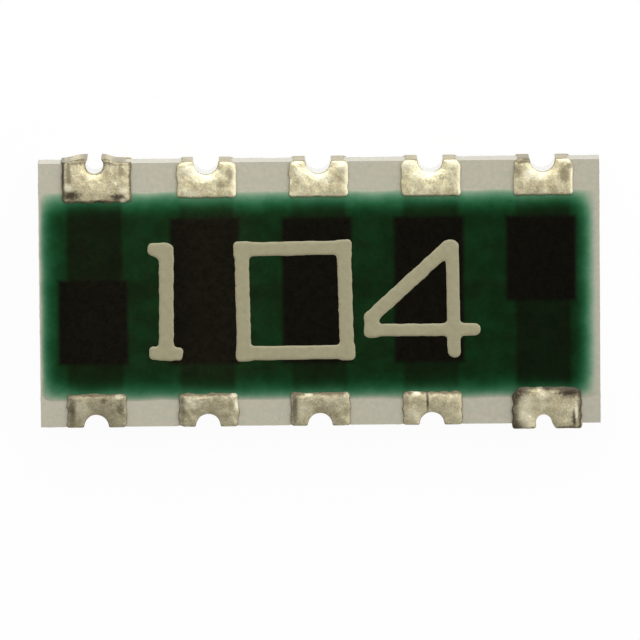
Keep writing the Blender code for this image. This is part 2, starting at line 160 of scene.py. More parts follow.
def finished(name: str, mesh: bpy.types.Mesh, material: bpy.types.Material) -> bpy.types.Object:
    """Makes the object of a finished piece, with its place in its mesh.

    Args:
        name: The piece's name.
        mesh: Its mesh, in metres.
        material: Its finish.

    Returns:
        The new object, at the origin.
    """
    mesh.name = name
    mesh.materials.clear()
    mesh.materials.append(material)
    piece = bpy.data.objects.new(name, mesh)
    bpy.context.scene.collection.objects.link(piece)
    return piece


def hand_over(piece: bpy.types.Object, slot: Slot | None, *nodes: str) -> None:
    """Joins a finished piece to the part.

    Args:
        piece: The finished piece.
        slot: The record's finish that it wears, if any. Not used.
        *nodes: The solids that it stands for.
    """
    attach(piece, ROOT)
    if nodes:
        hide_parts(*nodes)
    log.info("%s: %d faces, for %s", piece.name, len(piece.data.polygons), nodes)


class Writer:
    """Writes nodes into one tree."""

    tree: bpy.types.NodeTree

    def add(self, kind: str, inputs: dict | None = None, **settings: object) -> bpy.types.Node:
        """Adds a node.

        Args:
            kind: The node's type.
            inputs: Values or sockets for its inputs, by name or number.
            **settings: The node's own settings.

        Returns:
            The new node.
        """
        node = self.tree.nodes.new(kind)
        for name, value in settings.items():
            setattr(node, name, value)
        for name, value in (inputs or {}).items():
            self.put(node.inputs[name], value)
        return node

    def put(self, socket: bpy.types.NodeSocket, value: object) -> None:
        """Links a socket to an input, or sets its value."""
        if isinstance(value, bpy.types.NodeSocket):
            self.tree.links.new(value, socket)
        elif socket.type == "RGBA":
            socket.default_value = (*value, 1.0)
        else:
            socket.default_value = value

    def maths(self, operation: str, *values: object) -> bpy.types.NodeSocket:
        """The result of one sum on up to three values."""
        return self.add("ShaderNodeMath", dict(enumerate(values)), operation=operation).outputs[0]


@dataclass
class Shade(Writer):
    """Writes nodes into one shader tree."""

    tree: bpy.types.NodeTree

    def vector(self, operation: str, *values: object) -> bpy.types.NodeSocket:
        """The vector that one sum on up to two vectors gives."""
        node = self.add("ShaderNodeVectorMath", dict(enumerate(values)), operation=operation)
        return node.outputs[0]

    def mix(
        self, share: object, low: object, high: object, kind: str = "MIX"
    ) -> bpy.types.NodeSocket:
        """Blends two colours.

        Args:
            share: How much of the second colour shows, from 0 to 1.
            low: The first colour.
            high: The second colour.
            kind: How they blend.

        Returns:
            The blended colour.
        """
        inputs = {0: share, 6: low, 7: high}
        node = self.add("ShaderNodeMix", inputs, data_type="RGBA", blend_type=kind)
        return node.outputs[2]

    def rise(self, value: object, *ends: float) -> bpy.types.NodeSocket:
        """Maps a value smoothly.

        Args:
            value: The value that is mapped.
            *ends: Where it starts and ends, and the results there, 0 and 1 if left out.

        Returns:
            The mapped value.
        """
        low, high, start, end = (*ends, 0.0, 1.0)[:4]
        inputs = {0: value, 1: low, 2: high, 3: start, 4: end}
        node = self.add("ShaderNodeMapRange", inputs, interpolation_type="SMOOTHSTEP")
        return node.outputs[0]

    def noise(
        self, place: object, size: float, detail: float = 2.0, rough: float = 0.5
    ) -> bpy.types.NodeSocket:
        """A cloudy value around 0.5.

        Args:
            place: Where the pattern is read.
            size: The typical size of a cloud, in metres.
            detail: How many finer layers it has.
            rough: How strong the finer layers are.

        Returns:
            The value.
        """
        inputs = {"Vector": place, "Scale": 1 / size, "Detail": detail, "Roughness": rough}
        return self.add("ShaderNodeTexNoise", inputs).outputs[0]

    def place(self) -> bpy.types.NodeSocket:
        """The point on the piece, in its own coordinates."""
        return self.add("ShaderNodeTexCoord").outputs["Object"]

    def group(self, tree: bpy.types.NodeTree, **inputs: object) -> bpy.types.Node:
        """Places a shared effect with its own values."""
        named = {name.replace("_", " ").capitalize(): v for name, v in inputs.items()}
        return self.add("ShaderNodeGroup", named, node_tree=tree)


VALUE, VECTOR, COLOUR = "NodeSocketFloat", "NodeSocketVector", "NodeSocketColor"


def effect(
    name: str,
    takes: dict[str, tuple],
    gives: dict[str, str],
    write: Callable[[Shade, dict], dict],
) -> bpy.types.NodeTree:
    """Builds a shared shader effect once.

    Args:
        name: The effect's name.
        takes: Its inputs, each with a kind of socket and a usual value.
        gives: Its outputs, each with a kind of socket.
        write: Fills the tree, from the inputs' sockets to the outputs' ones.

    Returns:
        The node group.
    """
    if name in bpy.data.node_groups:
        return bpy.data.node_groups[name]
    tree = bpy.data.node_groups.new(name, "ShaderNodeTree")
    for label, (kind, usual) in takes.items():
        socket = tree.interface.new_socket(label, in_out="INPUT", socket_type=kind)
        if usual is not None:
            socket.default_value = (*usual, 1.0) if kind == COLOUR else usual
    for label, kind in gives.items():
        tree.interface.new_socket(label, in_out="OUTPUT", socket_type=kind)
    shade = Shade(tree)
    given = {s.name: s for s in shade.add("NodeGroupInput").outputs if s.name}
    made = write(shade, given)
    shade.add("NodeGroupOutput", made)
    return tree


def grain_effect() -> bpy.types.NodeTree:
    """Fine and coarse unevenness, as a shade around 1 and a height."""

    def write(shade: Shade, given: dict) -> dict:
        """Adds two sizes of clouds together."""
        inputs = {"Vector": given["Place"], "Detail": 3.0, "Roughness": 0.6}
        fine = shade.add("ShaderNodeTexNoise", inputs)
        shade.put(fine.inputs["Scale"], shade.maths("DIVIDE", 1.0, given["Size"]))
        inputs = {"Vector": given["Place"], "Detail": 1.0}
        coarse = shade.add("ShaderNodeTexNoise", inputs)
        shade.put(coarse.inputs["Scale"], shade.maths("DIVIDE", 0.22, given["Size"]))
        both = shade.maths("MULTIPLY_ADD", coarse.outputs[0], 0.6, fine.outputs[0])
        swing = shade.maths("MULTIPLY", shade.maths("SUBTRACT", both, 0.8), given["Contrast"])
        return {"Shade": shade.maths("ADD", swing, 1.0), "Height": fine.outputs[0]}

    takes = {"Place": (VECTOR, None), "Size": (VALUE, 2e-5), "Contrast": (VALUE, 0.3)}
    return effect("grain", takes, {"Shade": VALUE, "Height": VALUE}, write)


def soft_box_effect() -> bpy.types.NodeTree:
    """A mask that is 1 inside a printed rectangle and fades over its edge."""

    def write(shade: Shade, given: dict) -> dict:
        """Measures how far the place is outside the rectangle."""
        away = shade.vector("ABSOLUTE", shade.vector("SUBTRACT", given["Place"], given["Centre"]))
        out = shade.vector("SUBTRACT", away, given["Half"])
        parts = shade.add("ShaderNodeSeparateXYZ", {0: out})
        far = shade.maths("MAXIMUM", parts.outputs[0], parts.outputs[1])
        share = shade.maths("DIVIDE", far, given["Fade"])
        return {"Mask": shade.rise(share, 0.5, -0.5)}

    takes = {
        "Place": (VECTOR, None),
        "Centre": (VECTOR, None),
        "Half": (VECTOR, None),
        "Fade": (VALUE, 5e-5),
    }
    return effect("printed_box", takes, {"Mask": VALUE}, write)


def spot_effect() -> bpy.types.NodeTree:
    """A ragged round spot, as a mask."""

    def write(shade: Shade, given: dict) -> dict:
        """Measures the distance to the spot's middle, in its own radii."""
        away = shade.vector("SUBTRACT", given["Place"], given["Centre"])
        scaled = shade.vector("DIVIDE", away, given["Reach"])
        far = shade.add("ShaderNodeVectorMath", {0: scaled}, operation="LENGTH").outputs["Value"]
        ragged = shade.noise(given["Place"], 2.5e-5, 2.0)
        edge = shade.maths("MULTIPLY_ADD", shade.maths("SUBTRACT", ragged, 0.5), 1.3, far)
        return {"Mask": shade.rise(edge, 1.45, 0.35)}

    takes = {"Place": (VECTOR, None), "Centre": (VECTOR, None), "Reach": (VECTOR, None)}
    return effect("ragged_spot", takes, {"Mask": VALUE}, write)


def ceramic_effect() -> bpy.types.NodeTree:
    """The warm white of fired alumina, with its faint mottling and a painted light fall-off."""

    def write(shade: Shade, given: dict) -> dict:
        """Tints the ceramic warmer and cooler in small patches, and paints it darker towards the
        right.
        """
        pink, grey = linear(190, 183, 165), linear(183, 181, 162)
        patch = shade.rise(shade.noise(given["Place"], 6e-5, 3.0, 0.6), 0.35, 0.65)
        tint = shade.mix(patch, pink, grey)
        along = shade.add("ShaderNodeSeparateXYZ", {0: given["Place"]}).outputs[0]
        # Painted light fall-off: the ceramic is painted up to 6 % darker towards the right, where
        # less light falls.
        tint = shade.mix(1.0, tint, shade.rise(along, -2e-3, 4e-3, 1.0, 0.94), "MULTIPLY")
        grain = shade.group(grain_effect(), place=given["Place"], size=1.1e-5, contrast=0.26)
        lit = shade.mix(1.0, tint, grain.outputs["Shade"], "MULTIPLY")
        return {"Colour": lit, "Height": grain.outputs["Height"]}

    takes = {"Place": (VECTOR, None)}
    return effect("alumina_tint", takes, {"Colour": COLOUR, "Height": VALUE}, write)


@dataclass(frozen=True)
class Finish:
    """A surface finish. Each kind writes its own shader."""

    name: str
    roughness: float = 0.5

    def write(self, shade: Shade, principled: bpy.types.Node) -> None:
        """Feeds the shader's inputs."""
        raise NotImplementedError

    def material(self) -> bpy.types.Material:
        """Builds the material, or finds it if it is built already."""
        if self.name in bpy.data.materials:
            return bpy.data.materials[self.name]
        material = bpy.data.materials.new(self.name)
        material.use_nodes = True
        shade = Shade(material.node_tree)
        principled = material.node_tree.nodes["Principled BSDF"]
        principled.inputs["Roughness"].default_value = self.roughness
        self.write(shade, principled)
        return material

    def bump(
        self, shade: Shade, principled: bpy.types.Node, height: object, depth: float
    ) -> None:
        """Gives the shader fine relief.

        Args:
            shade: The writer of the material's tree.
            principled: Its shader.
            height: The relief, from 0 to 1.
            depth: How high 1 stands, in metres.
        """
        inputs = {"Height": height, "Distance": depth, "Strength": 1.0}
        normal = shade.add("ShaderNodeBump", inputs).outputs[0]
        shade.put(principled.inputs["Normal"], normal)


@dataclass(frozen=True)
class Ceramic(Finish):
    """Unglazed fired alumina."""

    name: str = "look_alumina"
    roughness: float = 0.62
    painted_side_light: Colour = (1.01, 1.03, 1.117)

    def write(self, shade: Shade, principled: bpy.types.Node) -> None:
        """Feeds the warm white and its grain, with painted light that makes the broken sides
        whiter and bluer.
        """
        tint = shade.group(ceramic_effect(), place=shade.place())
        normal = shade.add("ShaderNodeNewGeometry").outputs["True Normal"]
        upright = shade.add("ShaderNodeSeparateXYZ", {0: normal}).outputs[2]
        # Painted light: the upright sides are tinted whiter and bluer than the faces, for the
        # light that falls on them.
        broken = shade.rise(shade.maths("ABSOLUTE", upright), 0.8, 0.4)
        tone = shade.mix(broken, tint.outputs["Colour"], self.painted_side_light, "MULTIPLY")
        shade.put(principled.inputs["Base Color"], tone)
        principled.inputs["Specular IOR Level"].default_value = 0.35
        self.bump(shade, principled, tint.outputs["Height"], 1.5e-6)


@dataclass(frozen=True)
class Metal(Finish):
    """A plated or fired metal, cloudy in colour and polish."""

    bright: Colour = (0.8, 0.8, 0.8)
    dull: Colour = (0.5, 0.5, 0.5)
    grain: float = 2e-5

    def write(self, shade: Shade, principled: bpy.types.Node) -> None:
        """Feeds two tones and an uneven polish."""
        place = shade.place()
        grain = shade.group(grain_effect(), place=place, size=self.grain, contrast=0.5)
        cloud = shade.rise(shade.noise(place, self.grain * 4, 3.0), 0.3, 0.7)
        tone = shade.mix(cloud, self.dull, self.bright)
        shade.put(principled.inputs["Base Color"], tone)
        polish = shade.maths("MULTIPLY", grain.outputs["Shade"], self.roughness)
        shade.put(principled.inputs["Roughness"], polish)
        principled.inputs["Metallic"].default_value = 1.0
        self.bump(shade, principled, grain.outputs["Height"], self.grain * 0.08)


@dataclass(frozen=True)
class Ink(Finish):
    """A printed and fired paste, or a cured ink."""

    tone: Colour = (0.1, 0.1, 0.1)
    grain: float = 2e-5
    contrast: float = 0.3
    relief: float = 8e-7

    def write(self, shade: Shade, principled: bpy.types.Node) -> None:
        """Feeds one tone with a fine grain."""
        place = shade.place()
        grain = shade.group(grain_effect(), place=place, size=self.grain, contrast=self.contrast)
        tone = shade.mix(1.0, self.tone, grain.outputs["Shade"], "MULTIPLY")
        shade.put(principled.inputs["Base Color"], tone)
        rise = shade.rise(grain.outputs["Height"], 0.2, 0.8, self.roughness - 0.1, self.roughness)
        shade.put(principled.inputs["Roughness"], rise)
        self.bump(shade, principled, grain.outputs["Height"], self.relief)


@dataclass(frozen=True)
class Printed:
    """One printed rectangle that shows through the glass, in metres."""

    low: Point
    high: Point


@dataclass(frozen=True)
class GreenGlass(Finish):
    """Dark green glass, and what shows through it."""

    name: str = "look_green_glass"
    roughness: float = 0.22
    films: tuple[Printed, ...] = ()
    tracks: tuple[Printed, ...] = ()
    commons: tuple[Printed, ...] = ()
    bus: tuple[Printed, ...] = ()
    fade: float = 7e-5
    streak: float = -1.15e-3
    bus_tone: Colour = linear(165, 157, 134)
    track_tone: Colour = linear(134, 126, 100)
    common_tone: Colour = linear(110, 103, 80)
    film_tone: Colour = linear(20, 17, 14)
    paths: tuple[float, float] = (-2.9, -3.5)
    dyes: Colour = (2.2, 1.0, 1.45)
    own_tone: Colour = (0.0060, 0.0050, 0.0026)
    streak_haze: float = 0.4
    right_haze: float = 0.62

    def mask(self, shade: Shade, place: object, boxes: Iterable[Printed]) -> object:
        """The union of the masks of several printed rectangles."""
        total: object = 0.0
        for box in boxes:
            middle = [(a + b) / 2 for a, b in zip(box.low, box.high)]
            half = [(b - a) / 2 for a, b in zip(box.low, box.high)]
            one = shade.group(
                soft_box_effect(),
                place=place,
                centre=(*middle, 0.0),
                half=(*half, 1.0),
                fade=self.fade,
            )
            total = shade.maths("MAXIMUM", one.outputs[0], total)
        return total

    def write(self, shade: Shade, principled: bpy.types.Node) -> None:
        """Darkens what is behind the glass by the glass's depth."""
        place = shade.place()
        depth = shade.add("ShaderNodeAttribute", attribute_name="glass_depth").outputs["Fac"]
        behind = shade.group(ceramic_effect(), place=place).outputs["Colour"]
        buried = shade.rise(depth, 0.15, 0.9)
        for boxes, tone in (
            (self.bus, self.bus_tone),
            (self.tracks, self.track_tone),
            (self.commons, self.common_tone),
        ):
            share = shade.maths("MULTIPLY", self.mask(shade, place, boxes), buried)
            behind = shade.mix(share, behind, tone)
        films = self.mask(shade, place, self.films)
        behind = shade.mix(films, behind, self.film_tone)
        cloud = shade.noise(place, 2.4e-4, 4.0, 0.62)
        path = shade.maths("MULTIPLY", depth, shade.rise(cloud, 0.3, 0.7, *self.paths))
        passed = shade.add("ShaderNodeCombineColor")
        for socket, dye in zip(passed.inputs, self.dyes):
            shade.put(socket, shade.maths("EXPONENT", shade.maths("MULTIPLY", path, dye)))
        seen = shade.mix(1.0, behind, passed.outputs[0], "MULTIPLY")
        speck = shade.group(grain_effect(), place=place, size=1.4e-5, contrast=1.8)
        along = shade.add("ShaderNodeSeparateXYZ", {0: place}).outputs[0]
        away = shade.maths("ABSOLUTE", shade.maths("SUBTRACT", along, self.streak))
        milky = shade.rise(away, 6e-4, 1.5e-4, 0.0, self.streak_haze)
        # Painted light fall-off: the glass's haze is painted weaker towards the right, where less
        # light falls.
        wide = shade.rise(along, -3e-3, 3e-3, 1.0, self.right_haze)
        wide = shade.maths("ADD", wide, milky)
        haze = shade.maths("MULTIPLY", speck.outputs["Shade"], wide)
        own = shade.mix(1.0, self.own_tone, haze, "MULTIPLY")
        own = shade.mix(1.0, own, shade.maths("MINIMUM", depth, 1.0), "MULTIPLY")
        shade.put(principled.inputs["Base Color"], shade.mix(1.0, seen, own, "ADD"))
        rise = shade.rise(speck.outputs["Height"], 0.2, 0.8, self.roughness - 0.06, self.roughness)
        shade.put(principled.inputs["Roughness"], rise)
        principled.inputs["Specular IOR Level"].default_value = 0.15
        self.bump(shade, principled, speck.outputs["Height"], 4e-7)


@dataclass(frozen=True)
class ClearGlass(Finish):
    """Thin clear glass over a dark film."""

    name: str = "look_clear_glass"
    roughness: float = 0.22
    tone: Colour = (0.02, 0.019, 0.015)

    def write(self, shade: Shade, principled: bpy.types.Node) -> None:
        """Feeds the film's tone, with the glass's small bubbles."""
        place = shade.place()
        grain = shade.group(grain_effect(), place=place, size=1.4e-5, contrast=0.4)
        tone = shade.mix(1.0, self.tone, grain.outputs["Shade"], "MULTIPLY")
        shade.put(principled.inputs["Base Color"], tone)
        principled.inputs["Coat Weight"].default_value = 0.6
        self.bump(shade, principled, grain.outputs["Height"], 5e-7)


class SpotPaint(Enum):
    """What a spot on the solder looks like: a painted highlight, painted shade, or a brown mark
    that is partly a stain and partly painted shadow.
    """

    SHEEN = (1.0, 0.94, 0.70)
    SHADE = (0.34, 0.285, 0.175)
    BROWN = (0.060, 0.045, 0.027)


@dataclass(frozen=True)
class Spot:
    """A ragged spot of painted light, painted shade or brown on a terminal, in millimetres from
    its notch and from the plate's edge.
    """

    stain: SpotPaint
    across: float
    inward: float
    reach_across: float
    reach_inward: float
    strength: float = 0.7


@dataclass(frozen=True)
class Solder(Finish):
    """Reflowed solder with a tin grain, darkened along its rim by dirt and painted shade."""

    name: str = "look_solder"
    roughness: float = 0.40
    painted_light_level: float = 1.0
    dirt_and_shade: float = 0.6
    bright: Colour = (0.80, 0.725, 0.485)
    dull: Colour = (0.60, 0.525, 0.325)
    rim: Colour = (0.105, 0.080, 0.040)
    most: float = 0.96
    bore_tone: Colour = (0.93, 0.92, 0.86)
    bore_roughness: float = 0.17
    metal: float = 0.5
    dirt_and_shade_metal: float = -0.35
    spots: tuple[Spot, ...] = ()
    middle: float = 0.0
    edge: float = 0.0
    side: int = 1

    def write(self, shade: Shade, principled: bpy.types.Node) -> None:
        """Feeds the mottled tone, the dark rim of dirt and painted shade, and the spots."""
        place = shade.place()
        bore = shade.add("ShaderNodeAttribute", attribute_name="bore").outputs["Fac"]
        grain = shade.group(grain_effect(), place=place, size=2.0e-5, contrast=1.0)
        cloud = shade.rise(shade.noise(place, 1.3e-4, 5.0, 0.62), 0.34, 0.66)
        # Painted light: each terminal's tones are scaled by its painted light level.
        bright, dull = (
            tuple(min(self.most, self.painted_light_level * part) for part in tone)
            for tone in (self.bright, self.dull)
        )
        tone = shade.mix(cloud, dull, bright)
        tone = shade.mix(1.0, tone, grain.outputs["Shade"], "MULTIPLY")
        # The rim attribute holds dirt at the pad's edges and painted shade at its inner end and on
        # the walls; there the tone darkens towards the rim colour.
        rim = shade.add("ShaderNodeAttribute", attribute_name="rim").outputs["Fac"]
        ragged = shade.noise(place, 3e-5, 3.0)
        dirt_and_shade = shade.rise(shade.maths("MULTIPLY_ADD", ragged, 0.5, rim), 0.55, 0.95)
        dirt_and_shade = shade.maths("MULTIPLY", dirt_and_shade, shade.maths("SUBTRACT", 1.0, bore))
        tone = shade.mix(shade.maths("MULTIPLY", dirt_and_shade, self.dirt_and_shade), tone, self.rim)
        for spot in self.spots:
            x = self.middle + spot.across
            y = self.side * (self.edge - spot.inward)
            mask = shade.group(
                spot_effect(),
                place=place,
                centre=(x * MM, y * MM, node_top()),
                reach=(spot.reach_across * MM, spot.reach_inward * MM, MM),
            ).outputs[0]
            share = shade.maths("MULTIPLY", mask, spot.strength)
            # Each spot paints a highlight, shade or a brown mark over the tone.
            tone = shade.mix(share, tone, spot.stain.value)
        tone = shade.mix(bore, tone, self.bore_tone)
        shade.put(principled.inputs["Base Color"], tone)
        polish = shade.maths("MULTIPLY", grain.outputs["Shade"], self.roughness)
        smoother = self.bore_roughness - self.roughness
        polish = shade.maths("MULTIPLY_ADD", bore, smoother, polish)
        shade.put(principled.inputs["Roughness"], polish)
        metal = shade.maths("MULTIPLY_ADD", dirt_and_shade, self.dirt_and_shade_metal, self.metal)
        metal = shade.maths("MAXIMUM", metal, bore)
        shade.put(principled.inputs["Metallic"], metal)
        principled.inputs["Specular IOR Level"].default_value = 0.28
        self.bump(shade, principled, grain.outputs["Height"], 3.0e-6)


def node_top() -> float:
    """The height of the plate's upper face, in metres."""
    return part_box("ceramic_plate")[1].z


@dataclass
class Weave(Writer):
    """Writes nodes into one geometry tree with named inputs."""

    name: str
    tree: bpy.types.NodeTree = field(init=False)
    given: dict = field(init=False)
    sockets: dict = field(init=False)

    def start(self, takes: dict[str, tuple[str, object]]) -> None:
        """Makes the tree and its inputs.

        Args:
            takes: The inputs, each with a kind of socket and a usual value.
        """
        self.tree = bpy.data.node_groups.new(self.name, "GeometryNodeTree")
        face = self.tree.interface
        geometry = "NodeSocketGeometry"
        face.new_socket("Geometry", in_out="INPUT", socket_type=geometry)
        self.sockets = {}
        for label, (kind, usual) in takes.items():
            socket = face.new_socket(label, in_out="INPUT", socket_type=kind)
            if usual is not None:
                socket.default_value = usual
            self.sockets[label] = socket.identifier
        face.new_socket("Geometry", in_out="OUTPUT", socket_type=geometry)
        inside = self.tree.nodes.new("NodeGroupInput")
        self.given = {s.name: s for s in inside.outputs if s.name}

    def finish(self, geometry: bpy.types.NodeSocket) -> None:
        """Ends the tree in real geometry with a finish."""
        real = self.add("GeometryNodeRealizeInstances", {0: geometry}).outputs[0]
        inputs = {"Geometry": real, "Material": self.given["Material"]}
        dressed = self.add("GeometryNodeSetMaterial", inputs).outputs[0]
        self.add("NodeGroupOutput", {0: dressed})

    def run(self, mesh: bpy.types.Mesh, values: dict[str, object]) -> bpy.types.Mesh:
        """Runs the tree on a mesh.

        Args:
            mesh: The mesh that it starts from.
            values: What its named inputs are for this piece.

        Returns:
            The plain mesh that comes out.
        """
        carrier = bpy.data.objects.new(self.name, mesh)
        bpy.context.scene.collection.objects.link(carrier)
        modifier = carrier.modifiers.new(self.name, "NODES")
        modifier.node_group = self.tree
        for label, value in values.items():
            modifier[self.sockets[label]] = value
        bpy.context.view_layer.update()
        graph = bpy.context.evaluated_depsgraph_get()
        made = bpy.data.meshes.new_from_object(carrier.evaluated_get(graph))
        carrier.modifiers.clear()
        bpy.data.objects.remove(carrier)
        return made


def rough_skin() -> Weave:
    """Moves a surface along its normals by two sizes of unevenness.

    Returns:
        The tree. It reads the point attribute skin, how freely each point moves.
    """
    weave = Weave("rough_skin")
    weave.start(
        {
            "Lump height": (VALUE, 0.004),
            "Lump size": (VALUE, 0.08),
            "Grain height": (VALUE, 0.001),
            "Grain size": (VALUE, 0.02),
            "Seed": (VALUE, 0.0),
            "Scale": (VALUE, MM),
            "Material": ("NodeSocketMaterial", None),
        }
    )
    place = weave.add("GeometryNodeInputPosition").outputs[0]
    normal = weave.add("GeometryNodeInputNormal").outputs[0]
    free = weave.add("GeometryNodeInputNamedAttribute", {"Name": "skin"}, data_type="FLOAT")
    total: object = 0.0
    for size, height in (("Lump size", "Lump height"), ("Grain size", "Grain height")):
        finer = weave.maths("DIVIDE", 1.0, weave.given[size])
        inputs = {"Vector": place, "W": weave.given["Seed"], "Scale": finer, "Detail": 1.0}
        cloud = weave.add("ShaderNodeTexNoise", inputs, noise_dimensions="4D").outputs[0]
        swing = weave.maths("MULTIPLY", weave.maths("SUBTRACT", cloud, 0.5), 2.0)
        total = weave.maths("MULTIPLY_ADD", swing, weave.given[height], total)
    far = weave.maths("MULTIPLY", total, free.outputs[0])
    shift = weave.add("ShaderNodeVectorMath", {0: normal, "Scale": far}, operation="SCALE")
    inputs = {"Geometry": weave.given["Geometry"], "Offset": shift.outputs[0]}
    moved = weave.add("GeometryNodeSetPosition", inputs).outputs[0]
    inputs = {"Geometry": moved, "Scale": weave.given["Scale"]}
    sized = weave.add("GeometryNodeTransform", inputs).outputs[0]
    weave.finish(weave.add("GeometryNodeSetShadeSmooth", {"Geometry": sized}).outputs[0])
    return weave


def mark_points(mesh: bpy.types.Mesh, name: str, values: Sequence[float]) -> None:
    """Keeps one number for each point of a mesh."""
    attribute = mesh.attributes.new(name, "FLOAT", "POINT")
    attribute.data.foreach_set("value", np.asarray(values, np.float32))


@dataclass
class CeramicPlate:
    """The snapped ceramic plate with its ten punched notches.

    Its four sides were scored from below and broken, so they slope in at the
    score lines, stand a little off the nominal size and are uneven. All sizes
    are in millimetres.
    """

    node: str = "ceramic_plate"
    notch_radius: float = 0.175
    pitch: float = 1.27
    columns: int = 5
    step: float = 0.02
    arc_steps: int = 28
    terminal_half: float = 0.30
    score_depth: float = 0.035
    score_slope: float = 0.010
    upper_slope: float = 0.001
    swell_left: float = -0.004
    swell_right: float = 0.010
    swell_lower: float = 0.011
    swell_upper: float = 0.003
    levels: tuple[float, ...] = (0.0, 0.02, 0.05, 0.12, 0.2, 0.29, 0.37, 0.42, 0.437, 0.45)

    def column_x(self, column: int) -> float:
        """Where a column of terminals is, from the middle of the plate."""
        return (column - (self.columns - 1) / 2) * self.pitch

    def long_side(self, half: Vector, side: float) -> Iterable[tuple[Point, Point, float]]:
        """Points along one long side, from left to right.

        Args:
            half: Half the plate's length and width.
            side: 1 for the upper side, -1 for the lower one.

        Yields:
            A point, the way that faces out there, and how freely it breaks.
        """
        x = -half.x
        for column in range(self.columns):
            middle = self.column_x(column)
            start = middle - self.notch_radius
            for at in np.arange(x, start - self.step / 2, self.step):
                corner = -1.0 if at == -half.x else 0.0
                yield (float(at), side * half.y), (corner, side), self.free(float(at))
            for i in range(self.arc_steps + 1):
                turn = math.pi * i / self.arc_steps
                across, down = -math.cos(turn), math.sin(turn)
                place = (
                    middle + across * self.notch_radius,
                    side * (half.y - down * self.notch_radius),
                )
                yield place, (-across, side * down), 0.0
            x = middle + self.notch_radius + self.step
        for at in np.arange(x, half.x + self.step / 2, self.step):
            at = min(float(at), half.x)
            corner = 1.0 if half.x - at < self.step / 4 else 0.0
            yield (at, side * half.y), (corner, side), self.free(at)

    def free(self, x: float) -> float:
        """How freely the plate's long side breaks at a place, and not at all by a terminal."""
        near = min(abs(x - self.column_x(column)) for column in range(self.columns))
        return float(smooth(np.array(near), self.terminal_half, self.terminal_half + 0.06))

    def swell(self, nx: float, ny: float) -> Point:
        """How far the sides that face a way stand past the plate's nominal size."""
        across = self.swell_right if nx > 0 else self.swell_left
        return across, self.swell_upper if ny > 0 else self.swell_lower

    def outline(self, half: Vector) -> list[tuple[Point, Point, float]]:
        """The whole outline, counter-clockwise seen from above."""
        lower = list(self.long_side(half, -1))
        upper = list(self.long_side(half, 1))[::-1]
        ups = np.arange(-half.y + self.step, half.y - self.step / 2, self.step)
        right = [((half.x, float(y)), (1.0, 0.0), 1.0) for y in ups]
        left = [((-half.x, float(y)), (-1.0, 0.0), 1.0) for y in ups[::-1]]
        return lower + right + upper + left

    def mesh(self) -> bpy.types.Mesh:
        """Builds the plate as stacked outlines closed by two faces."""
        low, high = node_box(self.node)
        half = high.xy.to_3d()
        outline = self.outline(half)
        built = bmesh.new()
        rings = []
        tall = high.z - low.z
        for level in self.levels:
            below = self.score_slope * max(0.0, 1 - level / self.score_depth)
            above = self.upper_slope * max(0.0, 1 - (tall - level) / self.score_depth)
            ring = []
            for (x, y), (nx, ny), breaks in outline:
                across, along = self.swell(nx, ny)
                x += nx * breaks * (across - below - above)
                y += ny * breaks * (along - below - above)
                ring.append(built.verts.new((x, y, low.z + level)))
            rings.append(ring)
        for lower, upper in zip(rings, rings[1:]):
            for i, corner in enumerate(lower):
                j = (i + 1) % len(lower)
                built.faces.new((corner, lower[j], upper[j], upper[i]))
        self.close(built, rings[-1], True)
        self.close(built, rings[0], False)
        mesh = bpy.data.meshes.new(self.node)
        built.to_mesh(mesh)
        built.free()
        free = [breaks for _ in self.levels for _, _, breaks in outline]
        inner = len(outline)
        free[:inner] = [0.0] * inner
        free[-inner:] = [0.0] * inner
        mark_points(mesh, "skin", free)
        return mesh

    def close(self, built: bmesh.types.BMesh, ring: list, upward: bool) -> None:
        """Closes an outline with flat triangles.

        Args:
            built: The plate so far.
            ring: The outline's corners, counter-clockwise seen from above.
            upward: Whether the face looks up.
        """
        count = len(ring)
        places = [corner.co.xy for corner in ring]
        edges = [(i, (i + 1) % count) for i in range(count)]
        inside = 1
        made = delaunay_2d_cdt(places, edges, [], inside, 1e-7)
        numbers = [sources[0] for sources in made[3]]
        for triangle in made[2]:
            corners = [ring[numbers[i]] for i in triangle]
            face = built.faces.new(corners)
            face.normal_update()
            if (face.normal.z > 0) != upward:
                face.normal_flip()

    def build(self, skin: Weave) -> bpy.types.Object:
        """Breaks the plate's sides and dresses it."""
        values = {
            "Lump height": 0.006,
            "Lump size": 0.11,
            "Grain height": 0.003,
            "Grain size": 0.028,
            "Seed": 3.0,
            "Scale": MM,
        }
        material = Ceramic().material()
        made = skin.run(self.mesh(), values | {"Material": material})
        piece = finished("snapped_plate", made, material)
        shade_flat_tops(piece.data)
        hand_over(piece, Slot.ALUMINA, self.node)
        return piece


def shade_flat_tops(mesh: bpy.types.Mesh) -> None:
    """Keeps the large flat faces flat and the rest smooth."""
    flat = [abs(f.normal.z) < 0.999 for f in mesh.polygons]
    mesh.polygons.foreach_set("use_smooth", flat)


